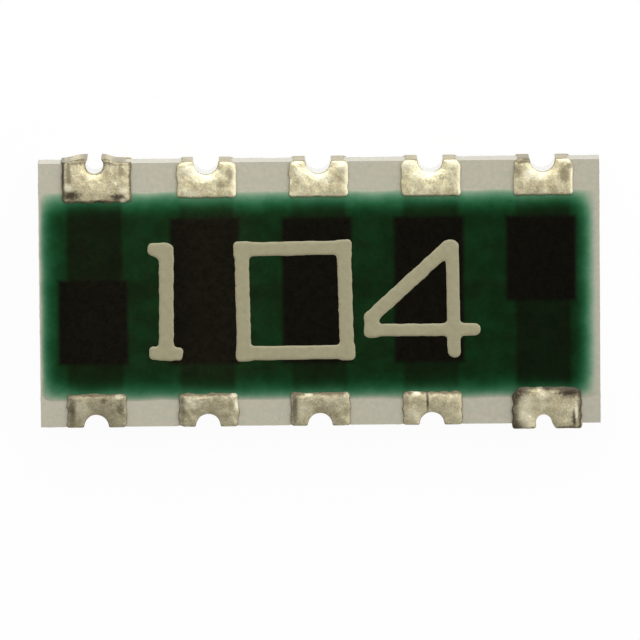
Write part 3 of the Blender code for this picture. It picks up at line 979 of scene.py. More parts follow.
@dataclass
class PrintedSheet:
    """A thin layer printed on a surface, over an area given by a distance.

    All sizes are in millimetres.
    """

    distance: Callable[[np.ndarray, np.ndarray], np.ndarray]
    thickness: Callable[[np.ndarray, np.ndarray, np.ndarray], np.ndarray]
    ground: Callable[[np.ndarray, np.ndarray], np.ndarray]
    low: Point
    high: Point
    step: float
    least: float = 0.12

    def corners(self) -> tuple[np.ndarray, np.ndarray, np.ndarray]:
        """The grid's places and their distances."""
        xs = np.arange(self.low[0], self.high[0] + self.step, self.step)
        ys = np.arange(self.low[1], self.high[1] + self.step, self.step)
        x, y = np.meshgrid(xs, ys, indexing="ij")
        far = self.distance(x, y)
        least = self.least * self.step
        return x, y, np.where(np.abs(far) < least, -least, far)

    def cells(self) -> tuple[list[Point], list[bool], list[list[int]]]:
        """Cuts the grid along the layer's outline.

        Returns:
            The points, which of them lie on the outline, and the faces.
        """
        x, y, far = self.corners()
        points: list[Point] = []
        edge: list[bool] = []
        known: dict[tuple, int] = {}
        faces: list[list[int]] = []

        def corner(i: int, j: int) -> int:
            """The number of a grid point."""
            if (i, j) not in known:
                known[i, j] = len(points)
                points.append((x[i, j], y[i, j]))
                edge.append(False)
            return known[i, j]

        def crossing(a: tuple[int, int], b: tuple[int, int]) -> int:
            """The number of the point where the outline crosses an edge."""
            key = (min(a, b), max(a, b))
            if key not in known:
                (a, b) = key
                share = far[a] / (far[a] - far[b])
                known[key] = len(points)
                points.append(
                    (x[a] + share * (x[b] - x[a]), y[a] + share * (y[b] - y[a]))
                )
                edge.append(True)
            return known[key]

        inside = far < 0
        some = inside[:-1, :-1] | inside[1:, :-1] | inside[1:, 1:] | inside[:-1, 1:]
        for i, j in zip(*np.nonzero(some)):
            round_it = [(i, j), (i + 1, j), (i + 1, j + 1), (i, j + 1)]
            face = []
            for a, b in zip(round_it, round_it[1:] + round_it[:1]):
                if inside[a]:
                    face.append(corner(*a))
                if inside[a] != inside[b]:
                    face.append(crossing(a, b))
            faces.append(face)
        return points, edge, faces

    def mesh(self, name: str) -> bpy.types.Mesh:
        """Builds the closed layer, thin at its outline.

        Args:
            name: The mesh's name.

        Returns:
            The mesh in metres. Its point attribute inside is the distance from the outline.
        """
        points, edge, faces = self.cells()
        x, y = np.array(points).T
        on_edge = np.array(edge)
        inside = np.where(on_edge, 0.0, -self.distance(x, y))
        ground = self.ground(x, y)
        top = ground + np.where(on_edge, 0.0, self.thickness(x, y, inside))
        lower = {int(i): len(points) + n for n, i in enumerate(np.flatnonzero(~on_edge))}
        under = np.flatnonzero(~on_edge)
        places = np.column_stack((x, y, top))
        places = np.vstack((places, np.column_stack((x, y, ground))[under])) * MM
        below = [[lower.get(i, i) for i in face[::-1]] for face in faces]
        mesh = bpy.data.meshes.new(name)
        mesh.from_pydata(places.tolist(), [], faces + below)
        mesh.polygons.foreach_set("use_smooth", [True] * len(mesh.polygons))
        mark_points(mesh, "inside", np.concatenate((inside, inside[under])))
        rim = set(np.flatnonzero(on_edge).tolist())
        sharp = [all(v in rim for v in e.vertices) for e in mesh.edges]
        mesh.attributes.new("sharp_edge", "BOOLEAN", "EDGE").data.foreach_set("value", sharp)
        return mesh


@dataclass
class GlassCoat:
    """The green glass over the films, and what it shows of them."""

    node: str = "green_overcoat"
    low: Point = (-3.158, -1.210)
    high: Point = (3.158, 1.173)
    corner: float = 0.12
    step: float = 0.025
    upper_slope: float = 0.285
    lower_slope: float = 0.256
    upper_blend: float = 0.25
    lower_blend: float = 0.5
    left_slope: float = 0.13
    right_slope: float = 0.31
    full: float = 0.049
    lift: float = 0.0008
    wobble: float = 0.006
    relief: float = 0.0035
    stub_half_width: float = 0.31
    bus_low: float = -0.052
    bus_high: float = 0.128

    def __post_init__(self) -> None:
        """Reads the places of the plate and the films."""
        self.top = node_box("ceramic_plate")[1].z
        self.films = [node_box(f"resistor_film_{n}") for n in range(1, 6)]

    def waved(self, x: np.ndarray, y: np.ndarray) -> tuple[np.ndarray, np.ndarray]:
        """The place, shifted a little as the print's edge wavers."""
        across = 0.5 * self.wobble * ripple(x, y, 0.3, 11)
        return x + across, y + self.wobble * ripple(x, y, 0.35, 12)

    def distance(self, x: np.ndarray, y: np.ndarray) -> np.ndarray:
        """The distance to the glass's wavy outline."""
        centre = tuple((a + b) / 2 for a, b in zip(self.low, self.high))
        half = tuple((b - a) / 2 for a, b in zip(self.low, self.high))
        return box_distance(*self.waved(x, y), centre, half, self.corner)

    def share(self, x: np.ndarray, y: np.ndarray) -> np.ndarray:
        """How much of its full depth the glass has. Each side slopes in its own way."""
        x, y = self.waved(x, y)
        left = 1 - np.exp(-np.clip(x - self.low[0], 0, None) / self.left_slope)
        right = smooth(self.high[0] - x, 0, self.right_slope)
        upper = np.clip((self.high[1] - y) / self.upper_slope, 0, None)
        lower = np.clip((y - self.low[1]) / self.lower_slope, 0, None)
        ends = [
            1 - soft_most(1 - part, np.zeros_like(part), blend)
            for part, blend in ((upper, self.upper_blend), (lower, self.lower_blend))
        ]
        return np.clip(left * right * ends[0] * ends[1], 0, 1)

    def height(self, x: np.ndarray, y: np.ndarray) -> np.ndarray:
        """The height of the glass's surface, in millimetres."""
        inside = np.maximum(-self.distance(x, y), 0)
        return self.ground(x, y) + self.thickness(x, y, inside)

    def ground(self, x: np.ndarray, y: np.ndarray) -> np.ndarray:
        """The height of the glass's under side."""
        return np.full_like(x, self.top + self.lift)

    def thickness(self, x: np.ndarray, y: np.ndarray, inside: np.ndarray) -> np.ndarray:
        """How thick the glass is, with the films pushing it up a little."""
        bumps = np.zeros_like(x)
        for low, high in self.films:
            centre, half = (low + high) / 2, (high - low) / 2
            far = box_distance(x, y, (centre.x, centre.y), (half.x, half.y), 0.02)
            bumps = np.maximum(bumps, smooth(-far, -0.05, 0.05))
        level = self.full - self.relief * (1 - bumps)
        level = level + 0.0006 * ripple(x, y, 0.5, 5)
        return level * self.share(x, y) + LEAST_LAYER

    def printed(self) -> dict[str, tuple[Printed, ...]]:
        """The films, the tracks and the common pads that show through the glass."""
        films = [self.rectangle(low, high) for low, high in self.films]
        tracks = [self.rectangle(*node_box(f"electrode_{n}")) for n in range(2, 10)]
        plate = CeramicPlate()
        first, last = plate.column_x(0), plate.column_x(plate.columns - 1)
        half = self.stub_half_width
        bus = Vector((first - half, self.bus_low)), Vector((last + half, self.bus_high))
        upper = Vector((first - half, self.bus_low)), Vector((first + half, self.high[1]))
        lower = Vector((last - half, self.low[1])), Vector((last + half, self.bus_high))
        commons = [self.rectangle(*upper), self.rectangle(*lower)]
        return {
            "films": tuple(films),
            "tracks": tuple(tracks),
            "commons": tuple(commons),
            "bus": (self.rectangle(*bus),),
        }

    def rectangle(self, low: Vector, high: Vector) -> Printed:
        """A printed rectangle in metres."""
        return Printed((low.x * MM, low.y * MM), (high.x * MM, high.y * MM))

    def build(self) -> bpy.types.Object:
        """Builds the glass and dresses it."""
        margin = 4 * self.wobble
        low = (self.low[0] - margin, self.low[1] - margin)
        high = (self.high[0] + margin, self.high[1] + margin)
        sheet = PrintedSheet(
            self.distance, self.thickness, self.ground, low, high, self.step
        )
        mesh = sheet.mesh("green_glass_coat")
        places = np.zeros(len(mesh.vertices) * 3, np.float32)
        mesh.vertices.foreach_get("co", places)
        x, y, _ = places.reshape(-1, 3).T / MM
        mark_points(mesh, "glass_depth", self.share(x, y))
        material = GreenGlass(**self.printed()).material()
        piece = finished("green_glass_coat", mesh, material)
        hand_over(piece, Slot.GREEN, self.node)
        return piece


@dataclass(frozen=True)
class Stroke:
    """One straight stroke of a character, in millimetres."""

    start: Point
    end: Point
    width: float = 0.155
    square: float = 0.0

    def distance(self, x: np.ndarray, y: np.ndarray) -> np.ndarray:
        """The signed distance to the stroke, with round or nearly square ends."""
        ax, ay = self.start
        dx, dy = self.end[0] - ax, self.end[1] - ay
        length = math.hypot(dx, dy)
        ux, uy = dx / length, dy / length
        along = (x - ax) * ux + (y - ay) * uy
        aside = (y - ay) * ux - (x - ax) * uy
        half = self.width / 2
        corner = half * (1 - self.square)
        return box_distance(
            along, aside, (length / 2, 0.0), (length / 2 + half, half), corner
        )


@dataclass
class Marking:
    """The printed value code: a one, a square nought and a four."""

    glass: GlassCoat
    thickness: float = 0.008
    step: float = 0.012
    soft: float = 0.02
    fillet: float = 0.05
    ragged: float = 0.0025
    ragged_size: float = 0.12
    margin: float = 0.12

    def characters(self) -> dict[str, tuple[Stroke, ...]]:
        """The strokes of each character."""
        return {
            "one": (
                Stroke((-1.727, 0.490), (-1.737, -0.655), 0.165, 0.50),
                Stroke((-1.870, 0.527), (-1.760, 0.527), 0.130, 0.35),
                Stroke((-1.850, 0.510), (-1.772, 0.462), 0.120, 0.00),
                Stroke((-1.855, -0.665), (-1.625, -0.675), 0.150, 0.40),
            ),
            "nought": (
                Stroke((-0.873, 0.512), (0.278, 0.524), 0.160, 0.55),
                Stroke((-0.855, -0.675), (0.315, -0.670), 0.160, 0.55),
                Stroke((-0.875, 0.510), (-0.855, -0.675), 0.160, 0.55),
                Stroke((0.285, 0.520), (0.312, -0.670), 0.160, 0.55),
            ),
            "four": (
                Stroke((1.512, 0.522), (1.528, -0.672), 0.146, 0.0),
                Stroke((1.462, 0.519), (0.602, -0.262), 0.156, 0.0),
                Stroke((0.588, -0.310), (0.586, -0.424), 0.156, 0.30),
                Stroke((0.600, -0.424), (1.755, -0.424), 0.142, 0.10),
            ),
        }

    def sheet(self, strokes: Sequence[Stroke], seed: int) -> PrintedSheet:
        """The raised print of one character.

        Args:
            strokes: The character's strokes.
            seed: Picks the raggedness of its edge.

        Returns:
            The print, lying on the glass.
        """

        def distance(x: np.ndarray, y: np.ndarray) -> np.ndarray:
            """The distance to the nearest stroke, a little ragged."""
            far = strokes[0].distance(x, y)
            for stroke in strokes[1:]:
                far = -soft_most(-far, -stroke.distance(x, y), self.fillet)
            return far + self.ragged * ripple(x, y, self.ragged_size, seed)

        def thickness(x: np.ndarray, y: np.ndarray, inside: np.ndarray) -> np.ndarray:
            """The print's height, round at its edge."""
            waves = 0.12 * ripple(x, y, self.ragged_size, seed + 1)
            level = self.thickness * (1 + waves)
            return level * (1 - np.exp(-2.2 * inside / self.soft)) + LEAST_LAYER

        ends = np.array([p for s in strokes for p in (s.start, s.end)])
        low, high = ends.min(0) - self.margin, ends.max(0) + self.margin
        return PrintedSheet(
            distance, thickness, self.glass.height, tuple(low), tuple(high), self.step
        )

    def build(self) -> list[bpy.types.Object]:
        """Builds the three characters and dresses them."""
        ink = Ink(
            name="look_marking_ink",
            roughness=0.6,
            tone=linear(157, 151, 120),
            grain=1.5e-5,
            contrast=0.35,
            relief=1.2e-6,
        ).material()
        pieces = []
        for seed, (name, strokes) in enumerate(self.characters().items()):
            mesh = self.sheet(strokes, 40 + 2 * seed).mesh(f"marking_{name}")
            piece = finished(f"marking_{name}", mesh, ink)
            hand_over(piece, None)
            pieces.append(piece)
        return pieces


def soft_most(first: np.ndarray, second: np.ndarray, blend: float) -> np.ndarray:
    """The larger of two fields, rounded where they meet.

    Args:
        first: One field.
        second: The other field.
        blend: How wide the rounding is, in millimetres.

    Returns:
        The joint field.
    """
    near = np.clip(blend - np.abs(first - second), 0, None) / blend
    return np.maximum(first, second) + near * near * blend / 4


@dataclass
class Net:
    """Closed skin around where a field is negative, on an even grid."""

    low: Point3
    high: Point3
    step: float

    def grid(self) -> list[np.ndarray]:
        """The three coordinates of each grid point."""
        spans = [np.arange(a, b + self.step, self.step) for a, b in zip(self.low, self.high)]
        return np.meshgrid(*spans, indexing="ij")

    def skin(self, far: np.ndarray) -> tuple[np.ndarray, np.ndarray]:
        """Wraps one point around each crossed cell and one face around each crossed edge.

        Args:
            far: The field at each grid point, above zero all around.

        Returns:
            The points, and the four corners of each face.
        """
        cells = tuple(n - 1 for n in far.shape)
        total, count = np.zeros((*cells, 3)), np.zeros(cells)
        inside = far < 0
        crossed = []
        for axis in range(3):
            a, b = np.moveaxis(far, axis, 0)[:-1], np.moveaxis(far, axis, 0)[1:]
            cut = (a < 0) != (b < 0)
            share = np.where(cut, a / np.where(cut, a - b, 1), 0)
            cut, share = np.moveaxis(cut, 0, axis), np.moveaxis(share, 0, axis)
            crossed.append(cut)
            second, third = (axis + 1) % 3, (axis + 2) % 3
            for i, j in ((0, 0), (1, 0), (1, 1), (0, 1)):
                window = [slice(None)] * 3
                window[second] = slice(i, i + cells[second])
                window[third] = slice(j, j + cells[third])
                here = cut[tuple(window)]
                count += here
                total[..., axis] += share[tuple(window)]
                total[..., second] += i * here
                total[..., third] += j * here
        used = count > 0
        number = np.cumsum(used).reshape(cells) - 1
        base = np.stack(np.nonzero(used), axis=1)
        points = base + total[used] / count[used][:, None]
        faces = []
        for axis in range(3):
            second, third = (axis + 1) % 3, (axis + 2) % 3
            at = np.stack(np.nonzero(crossed[axis]), axis=1)
            around = []
            for i, j in ((-1, -1), (0, -1), (0, 0), (-1, 0)):
                cell = at.copy()
                cell[:, second] += i
                cell[:, third] += j
                around.append(number[tuple(cell.T)])
            quads = np.stack(around, axis=1)
            inner = inside[tuple(at.T)]
            faces += [quads[inner], quads[~inner][:, ::-1]]
        return points * self.step + np.array(self.low), np.concatenate(faces)


@dataclass
class SolderTerminal:
    """One solder coat over the plate's edge, its notch and both faces.

    Across is measured from the notch's middle, out from the plate's middle
    and up from the board, all in millimetres.
    """

    number: int
    left: float = 0.330
    right: float = 0.345
    depth: float = 0.400
    reach: float = 0.0185
    over: float = 0.050
    under: float = 0.036
    base: float = 0.013
    wall_base: float = -0.006
    notch_base: float = 0.004
    wall_left: float = 0.275
    wall_right: float = 0.285
    hole: float = 0.139
    hole_inset: float = -0.006
    hole_aside: float = 0.0
    lip: float = 0.02
    corner: float = 0.042
    edge_corner: float = 0.075
    wall_corner: float = 0.03
    wall_clear: float = 0.06
    ragged: float = 0.005
    dome: float = 0.036
    hole_dome: float = 0.062
    lump: float = 0.0055
    step: float = 0.0085
    # How much brighter or darker this terminal's solder is painted for the light that falls on it.
    painted_light_level: float = 1.0
    dirt_and_shade: float = 0.65
    dirt_and_shade_reach: float = 0.011
    end_dirt_and_shade: float = 1.0
    end_reach: float = 0.026
    hole_dirt_and_shade: float = 0.0
    wall_shade: float = 1.15
    wall_skin: float = 0.2
    rim_share: float = 0.2
    face_blend: float = 0.02
    edge_blend: float = 0.03
    face_lap: float = 0.004
    wall_lap: float = 0.008
    wall_fade: float = 3.0
    wall_fade_reach: float = 0.16
    bore_skin: float = 0.2
    inner_margin: float = 0.04
    outer_margin: float = 0.03
    lower_margin: float = 0.02
    spots: tuple[Spot, ...] = ()

    def __post_init__(self) -> None:
        """Reads the plate's place and works out the terminal's own."""
        plate = CeramicPlate()
        low, high = node_box(plate.node)
        self.edge, self.bottom, self.top = high.y, low.z, high.z
        self.notch = plate.notch_radius
        self.side = 1 if self.number <= plate.columns else -1
        self.middle = plate.column_x((self.number - 1) % plate.columns)

    @property
    def node(self) -> str:
        """The solid that the coat stands for."""
        return f"solder_terminal_{self.number}"

    def pad(self, u: np.ndarray, v: np.ndarray) -> np.ndarray:
        """The signed distance to the pad's ragged outline, seen from above."""
        centre = ((self.right - self.left) / 2, self.edge + (self.reach - self.depth) / 2)
        half = ((self.right + self.left) / 2, (self.depth + self.reach) / 2)
        corner = np.where(v > centre[1], self.edge_corner, self.corner)
        far = box_distance(u, v, centre, half, corner)
        return far + self.ragged * ripple(u, v, 0.14, 7 * self.number)

    def wall(self, u: np.ndarray, v: np.ndarray, z: np.ndarray) -> np.ndarray:
        """The signed distance to the part of the plate's edge that the coat covers."""
        centre = ((self.wall_right - self.wall_left) / 2, self.edge - self.depth / 2)
        tall = self.depth / 2 + self.reach + self.wall_clear
        half = ((self.wall_right + self.wall_left) / 2, tall)
        far = box_distance(u, v, centre, half, self.wall_corner)
        return far + self.ragged * ripple(z, u, 0.2, 7 * self.number + 2)

    def hole_distance(self, u: np.ndarray, v: np.ndarray) -> np.ndarray:
        """How deep a place is in the hole that the coat leaves in the notch."""
        away = np.hypot(u - self.hole_aside, v - self.edge + self.hole_inset)
        return self.hole - away + 0.15 * self.ragged * ripple(u, v, 0.12, 7 * self.number + 1)

    def wall_reach(self, u: np.ndarray) -> np.ndarray:
        """How far the coat stands past the plate's edge."""
        return np.full_like(u, self.reach)

    def rim(self, u: np.ndarray, v: np.ndarray) -> np.ndarray:
        """How much dirt and painted shade a place on a flat face gets, seen from above."""
        sides = np.exp(-np.clip(-self.pad(u, v), 0, None) / self.dirt_and_shade_reach)
        inward = v - self.edge + self.depth
        end = self.end_dirt_and_shade * np.exp(-np.clip(inward, 0, None) / self.end_reach)
        away = np.clip(-self.hole_distance(u, v), 0, None)
        hole = self.hole_dirt_and_shade * np.exp(-away / self.dirt_and_shade_reach)
        return np.maximum(np.maximum(sides, end), hole)

    def height(self, u: np.ndarray, v: np.ndarray, full: float) -> np.ndarray:
        """The coat's thickness on a flat face, domed towards its rim."""
        outer = 1 - np.exp(-np.clip(-self.pad(u, v), 0, None) / self.dome)
        inner = 1 - np.exp(-np.clip(-self.hole_distance(u, v), 0, None) / self.hole_dome)
        risen = self.rim_share + (1 - self.rim_share) * outer
        return self.base + (full - self.base) * risen * inner

    def field(self, u: np.ndarray, v: np.ndarray, z: np.ndarray) -> np.ndarray:
        """The signed distance to the coat, negative in the solder."""
        above = z - self.top - self.height(u, v, self.over)
        below = self.bottom - z - self.height(u, v, self.under)
        out = v - self.edge - self.wall_reach(u)
        outer = soft_most(above, below, self.face_blend)
        outer = soft_most(outer, out, self.edge_blend)
        outer = soft_most(outer, self.hole_distance(u, v), self.lip)
        flat = np.maximum(z - self.top, self.bottom - z)
        faces = np.maximum(self.pad(u, v), -self.face_lap - flat)
        walls = np.maximum(self.wall(u, v, z), flat - self.wall_lap)
        region = np.minimum(faces, walls)
        return np.maximum(np.maximum(outer, -self.outward(u, v, z)), region)

    def outward(self, u: np.ndarray, v: np.ndarray, z: np.ndarray) -> np.ndarray:
        """How far a place is outside the layers under the coat."""
        radius = np.hypot(u, v - self.edge)
        inner = np.maximum(z - self.top, self.bottom - z) - self.base
        inner = np.maximum(inner, v - self.edge - self.wall_base)
        return np.maximum(inner, self.notch - self.notch_base - radius)

    def mesh(self) -> bpy.types.Mesh:
        """Builds the coat with its attributes, in millimetres."""
        side = max(self.left, self.right) + self.inner_margin
        net = Net(
            (-side, self.edge - self.depth - self.inner_margin, -self.lower_margin),
            (
                side,
                self.edge + self.reach + self.outer_margin,
                self.top + self.over + self.outer_margin,
            ),
            self.step,
        )
        points, faces = net.skin(self.field(*net.grid()))
        u, v, z = points.T
        flat = np.maximum(z - self.top, self.bottom - z)
        rim = self.rim(u, v)
        # Painted shade: the walls, which get less light from above, are darkened most beside the
        # notch.
        away = np.abs(u) - self.hole
        faded = self.wall_fade * np.clip(away, 0, self.wall_fade_reach)
        wall = self.wall_shade * (1 - faded)
        rim = np.where(flat > self.base, rim, wall)
        bore = smooth(np.abs(self.hole_distance(u, v)), 0.008, 0.002) * smooth(-flat, 0, 0.02)
        outward = smooth(self.outward(u, v, z), 0.001, 0.004) * (1 - (1 - self.bore_skin) * bore)
        outward = outward * np.where(flat > self.base, 1.0, self.wall_skin)
        places = np.stack((self.middle + u, self.side * v, z), axis=1)
        if self.side < 0:
            faces = faces[:, ::-1]
        mesh = bpy.data.meshes.new(self.node)
        mesh.from_pydata(places.tolist(), [], faces.tolist())
        mark_points(mesh, "skin", outward)
        mark_points(mesh, "rim", rim)
        mark_points(mesh, "bore", bore)
        return mesh

    def build(self, skin: Weave) -> bpy.types.Object:
        """Builds the coat and dresses it."""
        material = Solder(
            name=f"look_solder_{self.number}",
            painted_light_level=self.painted_light_level,
            dirt_and_shade=self.dirt_and_shade,
            spots=self.spots,
            middle=self.middle,
            edge=self.edge,
            side=self.side,
        ).material()
        values = {
            "Lump height": self.lump,
            "Lump size": 0.085,
            "Grain height": 0.0012,
            "Grain size": 0.022,
            "Seed": float(self.number) * 1.7,
            "Scale": MM,
            "Material": material,
        }
        mesh = skin.run(self.mesh(), values)
        piece = finished(f"solder_coat_{self.number}", mesh, material)
        hand_over(piece, Slot.SOLDER, self.node)
        return piece


@dataclass
class RoundTerminal(SolderTerminal):
    """The first common terminal: thick solder leaves a round hole in its notch."""

    left: float = 0.362
    right: float = 0.424
    depth: float = 0.446
    reach: float = 0.062
    over: float = 0.058
    hole: float = 0.101
    hole_inset: float = 0.016
    hole_aside: float = 0.008
    hole_dome: float = 0.055
    wall_left: float = 0.37
    wall_right: float = 0.36
    corner: float = 0.05
    edge_corner: float = 0.08
    wall_corner: float = 0.05
    wall_clear: float = 0.010
    dirt_and_shade: float = 0.88
    dirt_and_shade_reach: float = 0.040
    end_reach: float = 0.040
    hole_dirt_and_shade: float = 0.70
    wall_shade: float = 0.62
    wall_skin: float = 0.5
    mouth: float = 0.079
    mouth_run: float = 0.045
    thin: float = 0.021
    left_fade: Point = (0.36, 0.10)
    right_fade: Point = (0.27, 0.10)

    def hole_distance(self, u: np.ndarray, v: np.ndarray) -> np.ndarray:
        """The hole, which closes a little outside the plate's edge."""
        closed = smooth(v - self.edge, 0.0, self.mouth_run)
        half = self.hole + (self.mouth - self.hole) * closed
        return np.minimum(super().hole_distance(u, v), half - np.abs(u - self.hole_aside))

    def wall_reach(self, u: np.ndarray) -> np.ndarray:
        """It stands out most beside the hole and thins out to both sides."""
        left, right = smooth(-u, *self.left_fade), smooth(u, *self.right_fade)
        return self.thin + (self.reach - self.thin) * np.where(u < 0, left, right)


@dataclass
class ArchTerminal(SolderTerminal):
    """The last common terminal: thick solder leaves an arch in its notch."""

    left: float = 0.357
    right: float = 0.430
    depth: float = 0.412
    reach: float = 0.074
    over: float = 0.058
    hole: float = 0.089
    hole_inset: float = -0.004
    hole_dome: float = 0.06
    lip: float = 0.03
    wall_left: float = 0.357
    wall_right: float = 0.443
    corner: float = 0.125
    edge_corner: float = 0.05
    wall_corner: float = 0.05
    wall_clear: float = 0.008
    ragged: float = 0.006
    dirt_and_shade: float = 0.92
    dirt_and_shade_reach: float = 0.036
    end_reach: float = 0.055
    wall_shade: float = 0.5
    wall_skin: float = 0.6
    mouth_left: float = 0.087
    mouth_right: float = 0.076
    mouth_slope: float = 0.5
    mouth_start: float = 0.03

    def hole_distance(self, u: np.ndarray, v: np.ndarray) -> np.ndarray:
        """The arch, which opens further to the right from inside the plate's edge."""
        out = v - self.edge + self.mouth_start
        right = self.mouth_right + self.mouth_slope * np.clip(out, 0, None)
        mouth = np.minimum(np.minimum(u + self.mouth_left, right - u), out)
        return np.maximum(super().hole_distance(u, v), mouth)


@dataclass
class InnerLayers:
    """The layers that stay as the frame has them, with their finishes."""

    silver: Metal = Metal(
        name="look_fired_silver",
        roughness=0.45,
        bright=(0.72, 0.70, 0.64),
        dull=(0.50, 0.47, 0.40),
    )
    nickel: Metal = Metal(
        name="look_nickel",
        roughness=0.32,
        bright=(0.62, 0.58, 0.52),
        dull=(0.44, 0.41, 0.36),
    )
    film: Ink = Ink(
        name="look_resistor_ink",
        roughness=0.7,
        tone=(0.011, 0.009, 0.007),
        grain=1.2e-5,
        contrast=0.8,
    )

    def dress(self) -> None:
        """Gives each inner layer its finish."""
        looks = {
            "common_conductor": self.silver,
            "electrode_": self.silver,
            "nickel_barrier_": self.nickel,
            "resistor_film_": self.film,
            "glass_undercoat_": ClearGlass(),
        }
        for name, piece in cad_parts.items():
            for start, finish in looks.items():
                if name.startswith(start):
                    piece.data.materials.clear()
                    piece.data.materials.append(finish.material())
                    log.info("%s: %s", name, finish.name)


@dataclass
class Studio:
    """The camera, the floor and the light."""

    field: float = 7.256
    tilt: float = 7.4
    roll: float = 0.5
    lens: float = 600.0
    sensor: float = 36.0
    aside: float = 0.0108
    below: float = 0.305
    ambient: float = 0.78
    slant: float = 0.62
    bright_side: Point3 = (0.60, 0.79, 0.10)
    lens_shade: float = 0.16
    shade_angles: Point = (42.0, 16.0)
    floor_size: float = 0.6
    floor_white: float = 0.955
    key_place: Point3 = (2.0, 21.0, 16.0)
    key_size: float = 32.0
    key_radiance: float = 1.75

    def camera(self) -> None:
        """Looks down at the plate as a macro lens does, a little from behind."""
        tilt, roll = math.radians(self.tilt), math.radians(self.roll)
        back = Vector((0, math.sin(tilt), math.cos(tilt)))
        up = Vector((0, math.cos(tilt), -math.sin(tilt)))
        across = Vector((1, 0, 0))
        right = across * math.cos(roll) - up * math.sin(roll)
        upward = across * math.sin(roll) + up * math.cos(roll)
        target = Vector((0, 0, node_top()))
        target += (right * self.aside - upward * self.below) * MM
        far = self.field * MM * self.lens / self.sensor
        data = bpy.data.cameras.new("camera")
        data.lens, data.sensor_width = self.lens, self.sensor
        data.clip_start, data.clip_end = far * 0.1, far * 20
        camera = bpy.data.objects.new("camera", data)
        turn = Matrix((right, upward, back)).transposed().to_4x4()
        camera.matrix_world = Matrix.Translation(target + back * far) @ turn
        bpy.context.scene.collection.objects.link(camera)
        bpy.context.scene.camera = camera

    def lamp(self, name: str, place: Point3, size: float, radiance: float) -> None:
        """Adds a soft square lamp that faces the part.

        Args:
            name: The lamp's name.
            place: Where it is, in millimetres.
            size: The length of its sides, in millimetres.
            radiance: How bright its face is, where 1 is the backdrop's white.
        """
        data = bpy.data.lights.new(name, "AREA")
        data.size = size * MM
        data.energy = radiance * math.pi * (size * MM) ** 2
        lamp = bpy.data.objects.new(name, data)
        at = Vector(place) * MM
        lamp.location = at
        lamp.rotation_euler = at.to_track_quat("Z", "Y").to_euler()
        lamp.visible_camera = False
        bpy.context.scene.collection.objects.link(lamp)

    def floor(self) -> None:
        """Lays a pale floor that keeps a faint shadow."""
        material = bpy.data.materials.new("pale_floor")
        material.use_nodes = True
        shade = Shade(material.node_tree)
        nodes = material.node_tree.nodes
        principled = nodes["Principled BSDF"]
        principled.inputs["Roughness"].default_value = 0.9
        cloud = shade.noise(shade.place(), 0.004, 3.0)
        tone = shade.mix(cloud, (0.88, 0.88, 0.87), (0.9, 0.9, 0.9))
        shade.put(principled.inputs["Base Color"], tone)
        path = shade.add("ShaderNodeLightPath")
        seen = shade.maths(
            "MAXIMUM", path.outputs["Is Camera Ray"], path.outputs["Is Glossy Ray"]
        )
        white = shade.add("ShaderNodeEmission")
        share = shade.maths("MULTIPLY", seen, self.floor_white)
        mixed = shade.add("ShaderNodeMixShader", {0: share})
        shade.put(mixed.inputs[1], principled.outputs[0])
        shade.put(mixed.inputs[2], white.outputs[0])
        shade.put(nodes["Material Output"].inputs["Surface"], mixed.outputs[0])
        half = self.floor_size / 2
        mesh = bpy.data.meshes.new("floor")
        corners = [(-half, -half, 0), (half, -half, 0), (half, half, 0), (-half, half, 0)]
        mesh.from_pydata(corners, [], [(0, 1, 2, 3)])
        finished("floor", mesh, material)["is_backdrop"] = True

    def world(self) -> None:
        """Surrounds the part with even light, white behind it."""
        world = bpy.data.worlds.new("studio")
        bpy.context.scene.world = world
        world.use_nodes = True
        shade = Shade(world.node_tree)
        background = world.node_tree.nodes["Background"]
        path = shade.add("ShaderNodeLightPath")
        way = shade.add("ShaderNodeTexCoord").outputs["Generated"]
        up = shade.add("ShaderNodeSeparateXYZ", {0: way}).outputs[2]
        towards = shade.add(
            "ShaderNodeVectorMath", {0: way, 1: self.bright_side}, operation="DOT_PRODUCT"
        ).outputs["Value"]
        sky = shade.maths("MULTIPLY_ADD", towards, self.slant, self.ambient)
        wide, narrow = (math.cos(math.radians(a)) for a in self.shade_angles)
        sky = shade.maths("MULTIPLY", sky, shade.rise(up, wide, narrow, 1.0, self.lens_shade))
        strength = shade.add("ShaderNodeMix", {0: path.outputs["Is Camera Ray"], 2: sky, 3: 1.0})
        strength = strength.outputs[0]
        background.inputs["Color"].default_value = (1.0, 1.0, 1.0, 1.0)
        shade.put(background.inputs["Strength"], strength)

    def build(self) -> None:
        """Sets the whole studio up."""
        self.camera()
        self.lamp("key", self.key_place, self.key_size, self.key_radiance)
        self.floor()
        self.world()
        bpy.context.scene.view_settings.view_transform = "Standard"


